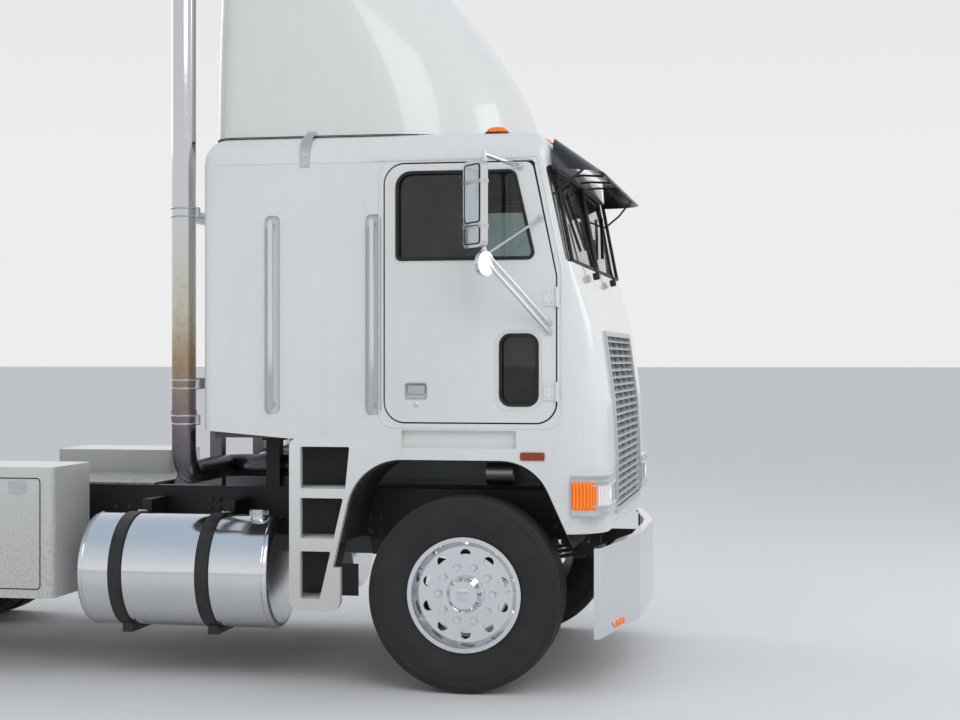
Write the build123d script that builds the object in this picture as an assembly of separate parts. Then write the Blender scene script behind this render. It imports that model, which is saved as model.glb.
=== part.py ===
from build123d import *
from math import cos, radians, sin
import os

# Cabover truck tractor with a sleeper cab, three axles and a tall roof fairing.
# Sizes are in millimetres. Along the truck, x is measured from the front axle
# and is positive towards the front; y is positive towards the left side; z is
# measured up from the road. moved() puts the origin under the middle of the
# truck when the pieces are written.

# Wheels and axles
TYRE_R = 510
TYRE_W = 275
TREAD_DROP = 12
TREAD_SHARE = 0.72
BEAD_SHARE = 0.8
RIM_SEAT_R = 284
BEAD_H = 16
FLANGE_W = 8
FLANGE_H = 14
HAND_HOLES = 10
HAND_HOLE_R = 28
HAND_HOLE_RING = 205
STUD_RING = 142.9
STUD_R = 16
STUD_LENGTH = 26
DISC_T = 22
HUB_R = 88
SPINDLE_R = 40
SPINDLE_PAST = 20
DRIVE_SPINDLE_PAST = 40
DRUM_R = 205
BORE_GAP = 0.05
FRONT_FACE = 62
FRONT_DRUM_IN = 60
DUAL_FACE = -95
WHEELBASE = 4380
TANDEM_SPACING = 1320
FRONT_TRACK = 2060
DUAL_SPACING = 343
OVERALL_W = 2438
AXLE_Z = TYRE_R

# Front axle, springs and steering
KINGPIN_INSET = 180
KINGPIN_SHAFT_R = 24
EYE_R = 48
EYE_HALF = 48
EYE_GAP = 1
BEAM_HALF = 45
BEAM_DEPTH = 95
BEAM_FLANGE = 17
SPRING_Y = 350
SPRING_W = 84
SPRING_SEAT_Z = 520
SPRING_LEAF = 14
# Each leaf: front end, rear end, rise of its tips
SPRING_LEAVES = [(500, -640, 96), (380, -500, 52), (250, -340, 22)]
ARM_X = -210
ARM_Z = 428
TIE_PIN_R = 11
TIE_ROD_R = 19
TIE_ROD_DROP = 44

# Drive axles
HOUSING_R = 62
BOWL_R = 205
BOWL_HALF = 130
NOSE_R = 95
NOSE_LENGTH = 330
NOSE_Z = AXLE_Z + 40
SHAFT_R = 50
GEARBOX_END_X = -1930
GEARBOX_SHAFT_Z = 740
BEAM_Y0, BEAM_Y1 = 470, 560

# Frame
FRONT_OVERHANG = 840
REAR_OVERHANG = 800
RAIL_OUT_Y = 432
RAIL_FLANGE = 85
RAIL_TOP_Z = 1000
RAIL_DEPTH = 270
RAIL_PLATE = 10
RAIL_FRONT_X = 560
BRACKET_TOP_Z = 712
BRACKET_DEPTH = 110
BRACKET_FRONT_X = 740
CROSS_DEPTH = 150
CROSS_LIFT = 60
REST_PAD_T = 40
DECK_T = 12

# Cab
CAB_HALF_W = 1170
CAB_WALL = 50
CAB_REAR_X = -1405
SLEEPER_SEAM_X = -740
STEP_SEAM_X = -560
DOOR_PLANE_X = 490
FLOOR_Z = 1310
FLOOR_T = 45
ROOF_SEAM_Z = 2745
ROOF_Z = 2900
PIVOT_X = 620
PIVOT_Z = 860
PIN_R = 18
REAR_CORNER_R = 60
# Each level of the cab: height, front and corner radius
CAB_LEVELS = [
    (835, 727, 237),
    (1200, 732, 242),
    (1500, 716, 226),
    (1900, 662, 172),
    (2210, 560, 75),
    (ROOF_SEAM_Z, 456, 62),
]
# Roof edge: height and how far the outline has drawn in
ROOF_LEVELS = [(ROOF_SEAM_Z, 0), (2800, 6), (2850, 34), (2882, 80), (ROOF_Z, 150)]

# Wheel arch
ARCH_TOP_Z = 1205
ARCH_LOW_Z = 640
ARCH_IN_Y = 640
ARCH_LINER_T = 11
ARCH_LINER_LOW_Z = 765

# Cab floor, engine tunnel and bunk
TUNNEL_HALF = 510
TUNNEL_WALL = 30
TUNNEL_TOP_Z = 1880
BUNK_Z = 1760
BUNK_T = 150
SEAT_Y = 805
SEAT_W = 510
SEAT_Z = 1640
STEERING_R = 225
STEERING_GRIP_R = 15
WHEEL_AT_X, WHEEL_AT_Z = 150, 1985
BUNK_FRONT_X = -735

# Steps
STEP_REAR_X = -925
STEP_FRONT_X = STEP_SEAM_X - 90
STEP_LOW_Z = 410
STEP_DEPTH = 190
STEP_SKIN = 40
# Each well: bottom and top
STEP_WELLS = [(1050, 1268), (790, 1000), (476, 722)]
STEP_WELL_REAR_X = -865
STEP_WELL_FRONT_X = -600
STEP_LEAN = 0.24
TREAD_T = 36

# Grille and lamps
GRILLE_HALF_W = 620
GRILLE_LOW_Z = 930
GRILLE_TOP_Z = 1850
GRILLE_LIP = 14
LOUVRES = 23
LOUVRE_T = 12
LAMP_LOW_Z = 930
LAMP_HIGH_Z = 1132
LAMP_FRONT_X = 742
LAMP_REAR_X = 560
LAMP_CORNER_R = 96
LAMP_PROUD = 6
LENS_T = 14
HEADLAMP_W = 150
HEADLAMP_T = 38
TURN_FRONT_X = 690
MARKER_LENGTH = 110
MARKER_W = 60
MARKER_H = 36

# Windscreen and sun visor
SCREEN_INSET = 14
SCREEN_T = 7
VISOR_T = 12
VISOR_TOP_Z = 2866
VISOR_LOW_Z = 2690
VISOR_REACH_X = 705

# Grab rails
RAIL_RECESS_W = 84
RAIL_RECESS_DEPTH = 26
RAIL_LOW_Z, RAIL_HIGH_Z = 1435, 2475
GRAB_R = 15
GRAB_OUT = 28

# Doors
DOOR_GAP = 8
DOOR_REAR_X = -410
DOOR_BOTTOM_Z = 1400
DOOR_TOP_Z = 2730
DOOR_CORNER_R = 105
HINGE_PIN_OUT = 14
HINGE_PIN_R = 10
HINGES_Z = [1560, 2040]
# Window and peep window outlines, in side view
WINDOW_POINTS = [(-345, 2240), (372, 2240), (268, 2685), (-345, 2685)]
WINDOW_RADII = [20, 30, 40, 75]
PEEP_POINTS = [(197, 1490), (387, 1490), (387, 1848), (197, 1848)]
PEEP_RADII = [52, 52, 52, 52]
GLASS_T = 6
GLASS_INSET = 22
# Recess for the handle: rear, front, bottom and top
HANDLE_RECESS = (-300, -190, 1520, 1600)

# Mirrors
MIRROR_X = 120
MIRROR_OUT = 280
MIRROR_Z = 2490
MIRROR_TURN = 39

# Roof fairing
FAIRING_TOP_Z = 4100
FAIRING_SKIN = 30
FAIRING_TAIL_R = 140
FAIRING_OPEN_IN = 170
FAIRING_OPEN_TOP_Z = 3940
# Each level: height, front, how far in from the cab's side, nose radius
FAIRING_LEVELS = [
    (ROOF_Z, 190, 140, 700),
    (3100, 150, 150, 700),
    (3300, 70, 162, 690),
    (3500, -55, 178, 660),
    (3700, -200, 200, 620),
    (3850, -330, 230, 560),
    (3960, -460, 270, 480),
    (4040, -590, 320, 390),
    (4085, -720, 380, 310),
    (FAIRING_TOP_Z, -830, 450, 240),
]

# Engine and radiator
ENGINE_FRONT_X = 260
ENGINE_REAR_X = -1150
CRANK_Z = 860
BELL_R = 225
FAN_X = 420
FAN_Z = 1340
FAN_R = 270
FAN_BLADES = 8
RADIATOR_X = 495

# Fuel tanks, lockers and exhaust
TANK_R = 305
TANK_FRONT_X = STEP_REAR_X - 125
TANK_LENGTH = 1070
TANK_Z = 575
TANK_INSET = 4
TANK_END_R = 28
STRAP_T = 6
STRAP_HALF = 32
STRAP_GAP = 0.3
STRAPS_AT = [360, 847]
BOX_IN_Y = 640
BOX_LOW_Z = 435
BOX_TOP_Z = 1142
BOX_CORNER_R = 45
BOX_GAP = 130
STACK_X = CAB_REAR_X - 145
STACK_Y = CAB_HALF_W - 125
STACK_R = 64
STACK_WALL = 5
STACK_TOP_Z = 4020
PIPE_Y = 275
PIPE_Z = 1112
PIPE_START_X = -1150
PIPE_BEND_R = 140
MAST_TOP_Z = 2560

# Fifth wheel
PLATE_AHEAD = 80
PLATE_TOP_Z = 1215
PLATE_T = 48
PLATE_HALF_W = 455
KINGPIN_R = 25.6
ROCKER_PIN_R = 20
ROCKER_PIN_Z = 1125

# Front bumper and tail
BUMPER_TOP_Z = 770
BUMPER_LOW_Z = 312
BUMPER_OUT = 30
BUMPER_END_X = 680
BUMPER_SWEEP_Y = 420
BUMPER_SWEEP = 132
BUMPER_CORNER_R = 30
BUMPER_FLANGE = 45
BUMPER_T = 10
FOG_LAMPS_Y = [790, 850, 910]
FOG_LAMP_Z = 352
FOG_LAMP_R = 17
TAIL_LAMPS_Y = [340, 460]
TAIL_LAMP_R = 46
TAIL_LAMP_Z = 673
FLAP_BEHIND = 110
FLAP_OUT_Y = 1205
FLAP_W = 595
FLAP_LOW_Z = 240
FLAP_TOP_Z = 945

FRONT_X = FRONT_OVERHANG
REAR_X = -(WHEELBASE + TANDEM_SPACING / 2 + REAR_OVERHANG)
DRIVE_X = [-(WHEELBASE - TANDEM_SPACING / 2), -(WHEELBASE + TANDEM_SPACING / 2)]
ORIGIN_X = (FRONT_X + REAR_X) / 2
SIDES = {"right": -1, "left": 1}
FRONT_WHEEL_Y = FRONT_TRACK / 2
KINGPIN_Y = FRONT_WHEEL_Y - KINGPIN_INSET
WHEEL_OUT_Y = OVERALL_W / 2 - TYRE_W / 2
WHEEL_IN_Y = WHEEL_OUT_Y - DUAL_SPACING
RAIL_BOTTOM_Z = RAIL_TOP_Z - RAIL_DEPTH
CROSSMEMBERS_X = [330, GEARBOX_END_X - 220, DRIVE_X[0] + 570, -WHEELBASE, REAR_X + 540]
TANK_Y = CAB_HALF_W - TANK_R - TANK_INSET
STRAPS_X = [TANK_FRONT_X - along for along in STRAPS_AT]
BOX_FRONT_X = TANK_FRONT_X - TANK_LENGTH - BOX_GAP
BOX_REAR_X = DRIVE_X[0] + TYRE_R + 160
PLATE_X = PLATE_AHEAD - WHEELBASE
FLAP_X = DRIVE_X[1] - TYRE_R - FLAP_BEHIND
BUMPER_HALF_W = CAB_HALF_W + BUMPER_OUT
GRAB_X = [DOOR_REAR_X - 62, SLEEPER_SEAM_X - 277]
MIRROR_Y = CAB_HALF_W + MIRROR_OUT
# A cut across the whole truck reaches this far to each side
PAST_SIDE = CAB_HALF_W + 130

SIDE_PLANE = Plane(origin=(0, 0, 0), x_dir=(1, 0, 0), z_dir=(0, -1, 0))
CROSS_PLANE = Plane(origin=(0, 0, 0), x_dir=(0, 1, 0), z_dir=(1, 0, 0))


# Small helpers: blocks, rods and outlines pushed out along one axis
def block(x0, x1, y0, y1, z0, z1):
    size = Box(abs(x1 - x0), abs(y1 - y0), abs(z1 - z0))
    return Pos((x0 + x1) / 2, (y0 + y1) / 2, (z0 + z1) / 2) * size


def rod(start, end, radius):
    a, b = Vector(*start), Vector(*end)
    plane = Plane(origin=(a + b) * 0.5, z_dir=(b - a))
    return plane * Cylinder(radius, (b - a).length)


def outline(points, radii=None):
    if radii is None:
        return make_face(Polyline(*points, close=True))
    return make_face(FilletPolyline(*points, radius=radii, close=True))


def side_prism(points, y0, y1, radii=None):
    face = SIDE_PLANE * outline(points, radii)
    return Pos(0, min(y0, y1), 0) * extrude(face, amount=abs(y1 - y0), dir=(0, 1, 0))


def cross_prism(points, x0, x1, radii=None):
    face = CROSS_PLANE * outline(points, radii)
    return Pos(min(x0, x1), 0, 0) * extrude(face, amount=abs(x1 - x0), dir=(1, 0, 0))


def plan_prism(points, z0, z1, radii=None):
    face = outline(points, radii)
    return Pos(0, 0, z0) * extrude(face, amount=z1 - z0, dir=(0, 0, 1))


def turned(profile, x, z):
    """A profile of (radius, y) points turned about a cross axis at x, z."""
    face = make_face(Polyline(*[(r, y, 0) for r, y in profile], close=True))
    solid = revolve(face, Axis.Y)
    return Pos(x, 0, z) * solid


def fused(first, *rest):
    return first + list(rest) if rest else first


# Wheels: plain tyres, dished rims with hand holes, hubs and drums
def tyre(x, y):
    half = TYRE_W / 2
    bead = half * BEAD_SHARE
    tread = half * TREAD_SHARE
    bulge_r = (RIM_SEAT_R + TYRE_R) / 2 + 43
    profile = [
        (RIM_SEAT_R, y - bead),
        (RIM_SEAT_R + BEAD_H, y - bead),
        (bulge_r, y - half),
        (TYRE_R - TREAD_DROP, y - half * 0.87),
        (TYRE_R, y - tread),
        (TYRE_R, y + tread),
        (TYRE_R - TREAD_DROP, y + half * 0.87),
        (bulge_r, y + half),
        (RIM_SEAT_R + BEAD_H, y + bead),
        (RIM_SEAT_R, y + bead),
    ]
    return turned(profile, x, AXLE_Z)


def rim(x, y, out, face_out, holes):
    """A disc wheel at y. The disc's face is face_out from the centre, along out."""
    half = TYRE_W / 2 * BEAD_SHARE + FLANGE_W
    well_r = RIM_SEAT_R - 22
    face = y + out * face_out
    lip = y + out * half
    back = y - out * half
    shell = turned(
        [
            (RIM_SEAT_R, lip - out * FLANGE_W),
            (RIM_SEAT_R + FLANGE_H, lip - out * FLANGE_W),
            (RIM_SEAT_R + FLANGE_H, lip),
            (RIM_SEAT_R - 8, lip),
            (RIM_SEAT_R - 36, face + out * 4),
            (STUD_RING + 27, face),
            (HUB_R + 2, face),
            (HUB_R + 2, face - out * DISC_T),
            (STUD_RING + 27, face - out * DISC_T),
            (RIM_SEAT_R - 48, face - out * (DISC_T + 2)),
            (RIM_SEAT_R - 32, face - out * 60 if face_out > 0 else back + out * 20),
            (RIM_SEAT_R - 32, back),
            (RIM_SEAT_R + FLANGE_H, back),
            (RIM_SEAT_R + FLANGE_H, back + out * FLANGE_W),
            (RIM_SEAT_R, back + out * FLANGE_W),
            (RIM_SEAT_R, back + out * 34),
            (well_r, back + out * 70),
            (well_r, lip - out * 70),
            (RIM_SEAT_R, lip - out * 34),
        ],
        x,
        AXLE_Z,
    )
    cuts = []
    for i in range(holes):
        angle = radians(360 / holes * (i + 0.5))
        cx = x + HAND_HOLE_RING * cos(angle)
        cz = AXLE_Z + HAND_HOLE_RING * sin(angle)
        cuts.append(rod((cx, face - 60, cz), (cx, face + 60, cz), HAND_HOLE_R))
    return shell - cuts if cuts else shell


def studs(x, face, out):
    made = []
    for i in range(HAND_HOLES):
        angle = radians(360 / HAND_HOLES * i)
        cx = x + STUD_RING * cos(angle)
        cz = AXLE_Z + STUD_RING * sin(angle)
        made.append(rod((cx, face - out * 2, cz), (cx, face + out * STUD_LENGTH, cz), STUD_R))
    return made


def hub(x, inner, face, cap, spindle_end, out):
    """Hub, drum and cap, bored from the inner side for the spindle."""
    body = turned(
        [
            (SPINDLE_R + BORE_GAP, inner),
            (DRUM_R, inner),
            (DRUM_R, face - out * DISC_T),
            (HUB_R, face - out * DISC_T),
            (HUB_R, face + out * 20),
            (HUB_R - 16, cap),
            (0, cap),
            (0, spindle_end + out * 12),
            (SPINDLE_R + BORE_GAP, spindle_end + out * 12),
        ],
        x,
        AXLE_Z,
    )
    return body


def front_wheel(side):
    y = side * FRONT_WHEEL_Y
    face = y + side * FRONT_FACE
    rubber = tyre(0, y)
    disc = rim(0, y, side, FRONT_FACE, HAND_HOLES)
    centre = hub(0, y - side * FRONT_DRUM_IN, face, face + side * 62, face + side * SPINDLE_PAST, side)
    metal = fused(disc, centre, *studs(0, face, side))
    return rubber, metal


def drive_wheel(x, side):
    """Twin tyres and rims, bolted back to back on one hub."""
    y_out, y_in = side * WHEEL_OUT_Y, side * WHEEL_IN_Y
    rubber = [tyre(x, y_out), tyre(x, y_in)]
    face = y_out + side * DUAL_FACE
    outer = rim(x, y_out, side, DUAL_FACE, HAND_HOLES)
    inner_face = face - side * (DISC_T + 2)
    inner = rim(x, y_in, -side, side * (y_in - inner_face), 0)
    centre = hub(x, y_in - side * 100, face, face + side * 110, face + side * DRIVE_SPINDLE_PAST, side)
    return rubber, fused(outer, inner, centre, *studs(x, face, side))


# Front axle, springs, knuckles and tie rod
def spring_pack(side):
    """Three leaves sagging from the hangers down to the axle seat."""
    y0, y1 = side * (SPRING_Y - SPRING_W / 2), side * (SPRING_Y + SPRING_W / 2)
    leaves = []
    for i, (front, rear, rise) in enumerate(SPRING_LEAVES):
        top = SPRING_SEAT_Z + SPRING_LEAF * (len(SPRING_LEAVES) - i)
        line = [
            (front, top + rise),
            (60, top),
            (-60, top),
            (rear, top + rise),
            (rear, top + rise - SPRING_LEAF),
            (-60, top - SPRING_LEAF),
            (60, top - SPRING_LEAF),
            (front, top + rise - SPRING_LEAF),
        ]
        leaves.append(side_prism(line, y0, y1))
    return fused(*leaves)


def front_axle():
    low = SPRING_SEAT_Z - BEAM_DEPTH
    right_half = [
        (-KINGPIN_Y + 350, SPRING_SEAT_Z),
        (-KINGPIN_Y + 250, AXLE_Z + 34),
        (-KINGPIN_Y + 20, AXLE_Z + 40),
        (-KINGPIN_Y + 20, AXLE_Z - 40),
        (-KINGPIN_Y + 210, AXLE_Z - 52),
        (-KINGPIN_Y + 330, low),
    ]
    left_half = [(-y, z) for y, z in reversed(right_half)]
    made = cross_prism(right_half + left_half, -BEAM_HALF, BEAM_HALF)
    # The beam is an I in section: one pocket along each face
    half = KINGPIN_Y - 370
    for face in (-1, 1):
        made = made - block(
            face * 12, face * (BEAM_HALF + 1), -half, half, low + BEAM_FLANGE, SPRING_SEAT_Z - BEAM_FLANGE
        )
    for side in SIDES.values():
        y = side * KINGPIN_Y
        eye = rod((0, y, AXLE_Z - EYE_HALF), (0, y, AXLE_Z + EYE_HALF), EYE_R)
        bore = rod((0, y, AXLE_Z - 90), (0, y, AXLE_Z + 90), KINGPIN_SHAFT_R + BORE_GAP)
        made = made + eye - bore
        y0, y1 = side * (SPRING_Y - SPRING_W / 2), side * (SPRING_Y + SPRING_W / 2)
        made = made + spring_pack(side)
        made = made + block(-70, 70, y0, y1, SPRING_SEAT_Z, SPRING_SEAT_Z + 6)
        # Hangers from the rail down to each end of the main leaf
        front, rear, rise = SPRING_LEAVES[0]
        leaf_z = SPRING_SEAT_Z + len(SPRING_LEAVES) * SPRING_LEAF + rise
        for x in (front, rear):
            z0, z1 = leaf_z - 34, RAIL_BOTTOM_Z
            hanger = side_prism([(x - 55, z1), (x + 55, z1), (x + 30, z0), (x - 30, z0)], y0, y1)
            made = made + hanger
    return made


def knuckle(side):
    """Forked knuckle with its kingpin, spindle and steering arm."""
    y = side * KINGPIN_Y
    ear = 40
    low, high = AXLE_Z - EYE_HALF - EYE_GAP, AXLE_Z + EYE_HALF + EYE_GAP
    pin = rod((0, y, low - ear), (0, y, high + ear), KINGPIN_SHAFT_R)
    ears = [rod((0, y, low - ear), (0, y, low), EYE_R), rod((0, y, high), (0, y, high + ear), EYE_R)]
    plate_y = y + side * (EYE_R + 6)
    web = block(-48, 48, plate_y, plate_y + side * 26, low - ear, high + ear)
    bridges = [
        block(-34, 34, y, plate_y + side * 4, low - ear, low),
        block(-34, 34, y, plate_y + side * 4, high, high + ear),
    ]
    spindle_end = side * (FRONT_WHEEL_Y + FRONT_FACE + SPINDLE_PAST)
    spindle = rod((0, plate_y + side * 20, AXLE_Z), (0, spindle_end, AXLE_Z), SPINDLE_R)
    arm = side_prism(
        [
            (30, low - ear),
            (30, low),
            (-40, low),
            (ARM_X - 30, ARM_Z + 10),
            (ARM_X - 30, ARM_Z - 18),
            (-60, low - ear),
        ],
        y - 18,
        y + 18,
    )
    eye = rod((ARM_X, y, ARM_Z - 18), (ARM_X, y, ARM_Z + 10), 26)
    hole = rod((ARM_X, y, ARM_Z - 40), (ARM_X, y, ARM_Z + 40), TIE_PIN_R + BORE_GAP)
    return fused(pin, *ears, web, *bridges, spindle, arm, eye) - hole


def tie_rod():
    y = KINGPIN_Y
    bar_z = ARM_Z - TIE_ROD_DROP
    bar = rod((ARM_X, -y + 10, bar_z), (ARM_X, y - 10, bar_z), TIE_ROD_R)
    ends = []
    for side in SIDES.values():
        at = side * y
        ends.append(rod((ARM_X, at, ARM_Z - 68), (ARM_X, at, ARM_Z - 24), 27))
        ends.append(rod((ARM_X, at, ARM_Z - 40), (ARM_X, at, ARM_Z + 8), TIE_PIN_R))
    return fused(bar, *ends)


# Frame: two channel rails, crossmembers, cab pivots and cab rests
def rail(side):
    web_in = side * (RAIL_OUT_Y - RAIL_PLATE)
    flange_in = side * (RAIL_OUT_Y - RAIL_FLANGE)
    out = side * RAIL_OUT_Y
    low = RAIL_BOTTOM_Z
    web = block(REAR_X, RAIL_FRONT_X, web_in, out, low, RAIL_TOP_Z)
    top = block(REAR_X, RAIL_FRONT_X, flange_in, out, RAIL_TOP_Z - RAIL_PLATE, RAIL_TOP_Z)
    bottom = block(REAR_X, RAIL_FRONT_X, flange_in, out, low, low + RAIL_PLATE)
    return web + top + bottom


def frame():
    made = rail(-1) + rail(1)
    low = RAIL_BOTTOM_Z
    inner = RAIL_OUT_Y - RAIL_PLATE
    for x in CROSSMEMBERS_X:
        z0 = low + CROSS_LIFT
        z1 = z0 + CROSS_DEPTH
        made = made + block(x - 6, x + 6, -inner, inner, z0, z1)
        for z in (z0, z1 - RAIL_PLATE):
            made = made + block(x - 6, x + 60, -inner, inner, z, z + RAIL_PLATE)
    # Closing crossmember at the rear, with a lamp bar below it
    made = made + block(REAR_X, REAR_X + 12, -inner, inner, low, RAIL_TOP_Z)
    for side in SIDES.values():
        y_in, y_out = side * (RAIL_OUT_Y - 30), side * RAIL_OUT_Y
        # One plate carries the cab's pivot on its upper arm and the bumper on its lower arm
        horn = side_prism(
            [
                (RAIL_FRONT_X - 140, RAIL_TOP_Z),
                (RAIL_FRONT_X - 20, RAIL_TOP_Z),
                (PIVOT_X + 34, PIVOT_Z + 34),
                (PIVOT_X + 34, PIVOT_Z - 34),
                (PIVOT_X - 64, PIVOT_Z - 48),
                (PIVOT_X - 100, PIVOT_Z - 100),
                (PIVOT_X - 60, BRACKET_TOP_Z),
                (BRACKET_FRONT_X, BRACKET_TOP_Z),
                (BRACKET_FRONT_X, BRACKET_TOP_Z - BRACKET_DEPTH),
                (BRACKET_FRONT_X - 100, BRACKET_TOP_Z - BRACKET_DEPTH),
                (RAIL_FRONT_X - 140, low - 30),
            ],
            y_in,
            y_out,
        )
        made = made + horn
        made = made + rod((PIVOT_X, y_in, PIVOT_Z), (PIVOT_X, side * 500, PIVOT_Z), PIN_R)
        # Rest for the cab's tail: a post with a pad on top
        x = CAB_REAR_X + 155
        post_z = FLOOR_Z - REST_PAD_T - 6
        made = made + block(x - 40, x + 40, side * 352, side * 422, RAIL_TOP_Z - 2, post_z)
        made = made + block(x - 60, x + 60, side * 337, side * 437, post_z, FLOOR_Z - 6)
    return made + tail_bar()


# Rear axles, propeller shaft, walking beams
def drive_axles():
    made = []
    for x in DRIVE_X:
        tube = rod((x, -WHEEL_IN_Y + 110, AXLE_Z), (x, WHEEL_IN_Y - 110, AXLE_Z), HOUSING_R)
        spindle_end = WHEEL_OUT_Y + DUAL_FACE + DRIVE_SPINDLE_PAST
        spindle = rod((x, -spindle_end, AXLE_Z), (x, spindle_end, AXLE_Z), SPINDLE_R)
        # The bowl narrows to the tube on both sides
        bowl = turned(
            [
                (0, -BOWL_HALF),
                (BOWL_R - 55, -BOWL_HALF),
                (BOWL_R, -BOWL_HALF / 2),
                (BOWL_R, BOWL_HALF / 2),
                (BOWL_R - 55, BOWL_HALF),
                (0, BOWL_HALF),
            ],
            x,
            AXLE_Z,
        )
        nose = rod((x, 0, AXLE_Z), (x + NOSE_LENGTH, 0, NOSE_Z), NOSE_R)
        made.append(fused(tube, spindle, bowl, nose))
    front, rear = made
    start = GEARBOX_END_X - 60
    shaft = rod((start, 0, GEARBOX_SHAFT_Z), (DRIVE_X[0] + NOSE_LENGTH - 10, 0, NOSE_Z), SHAFT_R)
    yoke = rod((GEARBOX_END_X, 0, GEARBOX_SHAFT_Z), (start - 10, 0, GEARBOX_SHAFT_Z), SHAFT_R + 12)
    link = rod((DRIVE_X[0] - 190, 0, AXLE_Z + 10), (DRIVE_X[1] + NOSE_LENGTH - 10, 0, NOSE_Z), SHAFT_R - 5)
    return fused(front, rear, link, shaft, yoke)


def walking_beams():
    made = []
    mid = -WHEELBASE
    ahead, behind = DRIVE_X
    for side in SIDES.values():
        y0, y1 = side * BEAM_Y0, side * BEAM_Y1
        beam = side_prism(
            [
                (ahead + 90, AXLE_Z - 150),
                (ahead + 90, AXLE_Z - 80),
                (mid + 140, AXLE_Z - 20),
                (mid - 140, AXLE_Z - 20),
                (behind - 90, AXLE_Z - 80),
                (behind - 90, AXLE_Z - 150),
                (mid - 160, AXLE_Z - 190),
                (mid + 160, AXLE_Z - 190),
            ],
            y0,
            y1,
        )
        for x in DRIVE_X:
            seat_z = AXLE_Z - HOUSING_R + 14
            hanger = side_prism(
                [(x - 50, AXLE_Z - 100), (x + 50, AXLE_Z - 100), (x + 66, seat_z), (x - 66, seat_z)], y0, y1
            )
            tube = rod((x, -WHEEL_IN_Y, AXLE_Z), (x, WHEEL_IN_Y, AXLE_Z), HOUSING_R)
            beam = beam + (hanger - tube)
        saddle = side_prism(
            [
                (mid - 130, AXLE_Z - 60),
                (mid + 130, AXLE_Z - 60),
                (mid + 330, RAIL_TOP_Z - 200),
                (mid + 330, RAIL_TOP_Z - 30),
                (mid - 330, RAIL_TOP_Z - 30),
                (mid - 330, RAIL_TOP_Z - 200),
            ],
            side * RAIL_OUT_Y,
            y1 - side * 30,
        )
        made.append(beam + saddle)
    return made


# Engine with gearbox, and the radiator standing in front of it
def engine():
    left_edge = [(200, 700), (300, 800), (300, 930), (235, 1010), (235, 1360)]
    case = cross_prism(left_edge + [(-y, z) for y, z in reversed(left_edge)], ENGINE_REAR_X, ENGINE_FRONT_X)
    rocker_cover = cross_prism(
        [(-170, 1360), (170, 1360), (170, 1500), (90, 1560), (-90, 1560), (-170, 1500)],
        ENGINE_REAR_X + 60,
        ENGINE_FRONT_X - 60,
        [1, 1, 30, 30, 30, 30],
    )
    sump = cross_prism([(-180, 701), (-150, 600), (150, 600), (180, 701)], -1000, -120)
    bell = rod((ENGINE_REAR_X + 1, 0, CRANK_Z), (ENGINE_REAR_X - 120, 0, CRANK_Z), BELL_R)
    left_edge = [(190, 690), (230, 760), (230, 940), (150, 1040)]
    right_edge = [(-y, z) for y, z in reversed(left_edge)]
    gearbox = cross_prism(left_edge + right_edge, ENGINE_REAR_X - 119, GEARBOX_END_X)
    fan_hub = rod((ENGINE_FRONT_X - 1, 0, FAN_Z), (FAN_X + 20, 0, FAN_Z), 70)
    pulley = rod((ENGINE_FRONT_X - 1, 0, CRANK_Z), (ENGINE_FRONT_X + 60, 0, CRANK_Z), 110)
    blades = []
    for i in range(FAN_BLADES):
        turn = Rot(360 / FAN_BLADES * i, 0, 0) * Pos(0, 0, FAN_R / 2) * Rot(0, 0, 32) * Box(8, 110, FAN_R)
        blades.append(Pos(FAN_X, 0, FAN_Z) * turn)
    return fused(case, rocker_cover, sump, bell, gearbox, fan_hub, pulley, *blades)


def radiator():
    """Finned core between two tanks, with a shroud round the fan."""
    x0, x1 = RADIATOR_X, RADIATOR_X + 80
    core = block(x0 + 10, x1 - 10, -420, 420, RAIL_TOP_Z + 35, 1640)
    tank = block(x0, x1, -430, 430, 1640, 1700)
    foot = block(x0, x1, -430, 430, RAIL_TOP_Z + 1, RAIL_TOP_Z + 35)
    shroud = rod((x0 + 11, 0, FAN_Z), (FAN_X - 20, 0, FAN_Z), FAN_R + 30)
    hole = rod((x0 + 10, 0, FAN_Z), (FAN_X - 40, 0, FAN_Z), FAN_R + 18)
    return fused(core, tank, foot, shroud) - hole


# Fuel tanks with straps and brackets
def fuel_tank(side):
    y = side * TANK_Y
    x0, x1 = TANK_FRONT_X, TANK_FRONT_X - TANK_LENGTH
    body = rod((x1, y, TANK_Z), (x0, y, TANK_Z), TANK_R)
    body = fillet(body.edges().filter_by(GeomType.CIRCLE), TANK_END_R)
    cap_x, cap_y, top = x0 - 120, y + side * 60, TANK_Z + TANK_R
    cap = rod((cap_x, cap_y, top - 40), (cap_x, cap_y, top + 34), 48)
    return body + cap


def tank_straps(side):
    made = []
    y = side * TANK_Y
    for x in STRAPS_X:
        band = rod((x - STRAP_HALF, y, TANK_Z), (x + STRAP_HALF, y, TANK_Z), TANK_R + STRAP_T)
        # An L of plate: up the rail behind the tank, then out under it
        half = STRAP_HALF - 4
        low, bottom = TANK_Z - TANK_R - 30, TANK_Z - TANK_R
        upright = block(x - half, x + half, side * RAIL_OUT_Y, y, low, RAIL_TOP_Z - 60)
        foot = block(x - half, x + half, side * RAIL_OUT_Y, y + side * 120, low, bottom + 20)
        over = block(x - 40, x + 40, y - side * 160, y, TANK_Z + TANK_R - 5, RAIL_TOP_Z + 200)
        hollow = rod((x - 60, y, TANK_Z), (x + 60, y, TANK_Z), TANK_R + STRAP_GAP)
        made.append(band + (upright + foot - over) - hollow)
    return made


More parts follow.
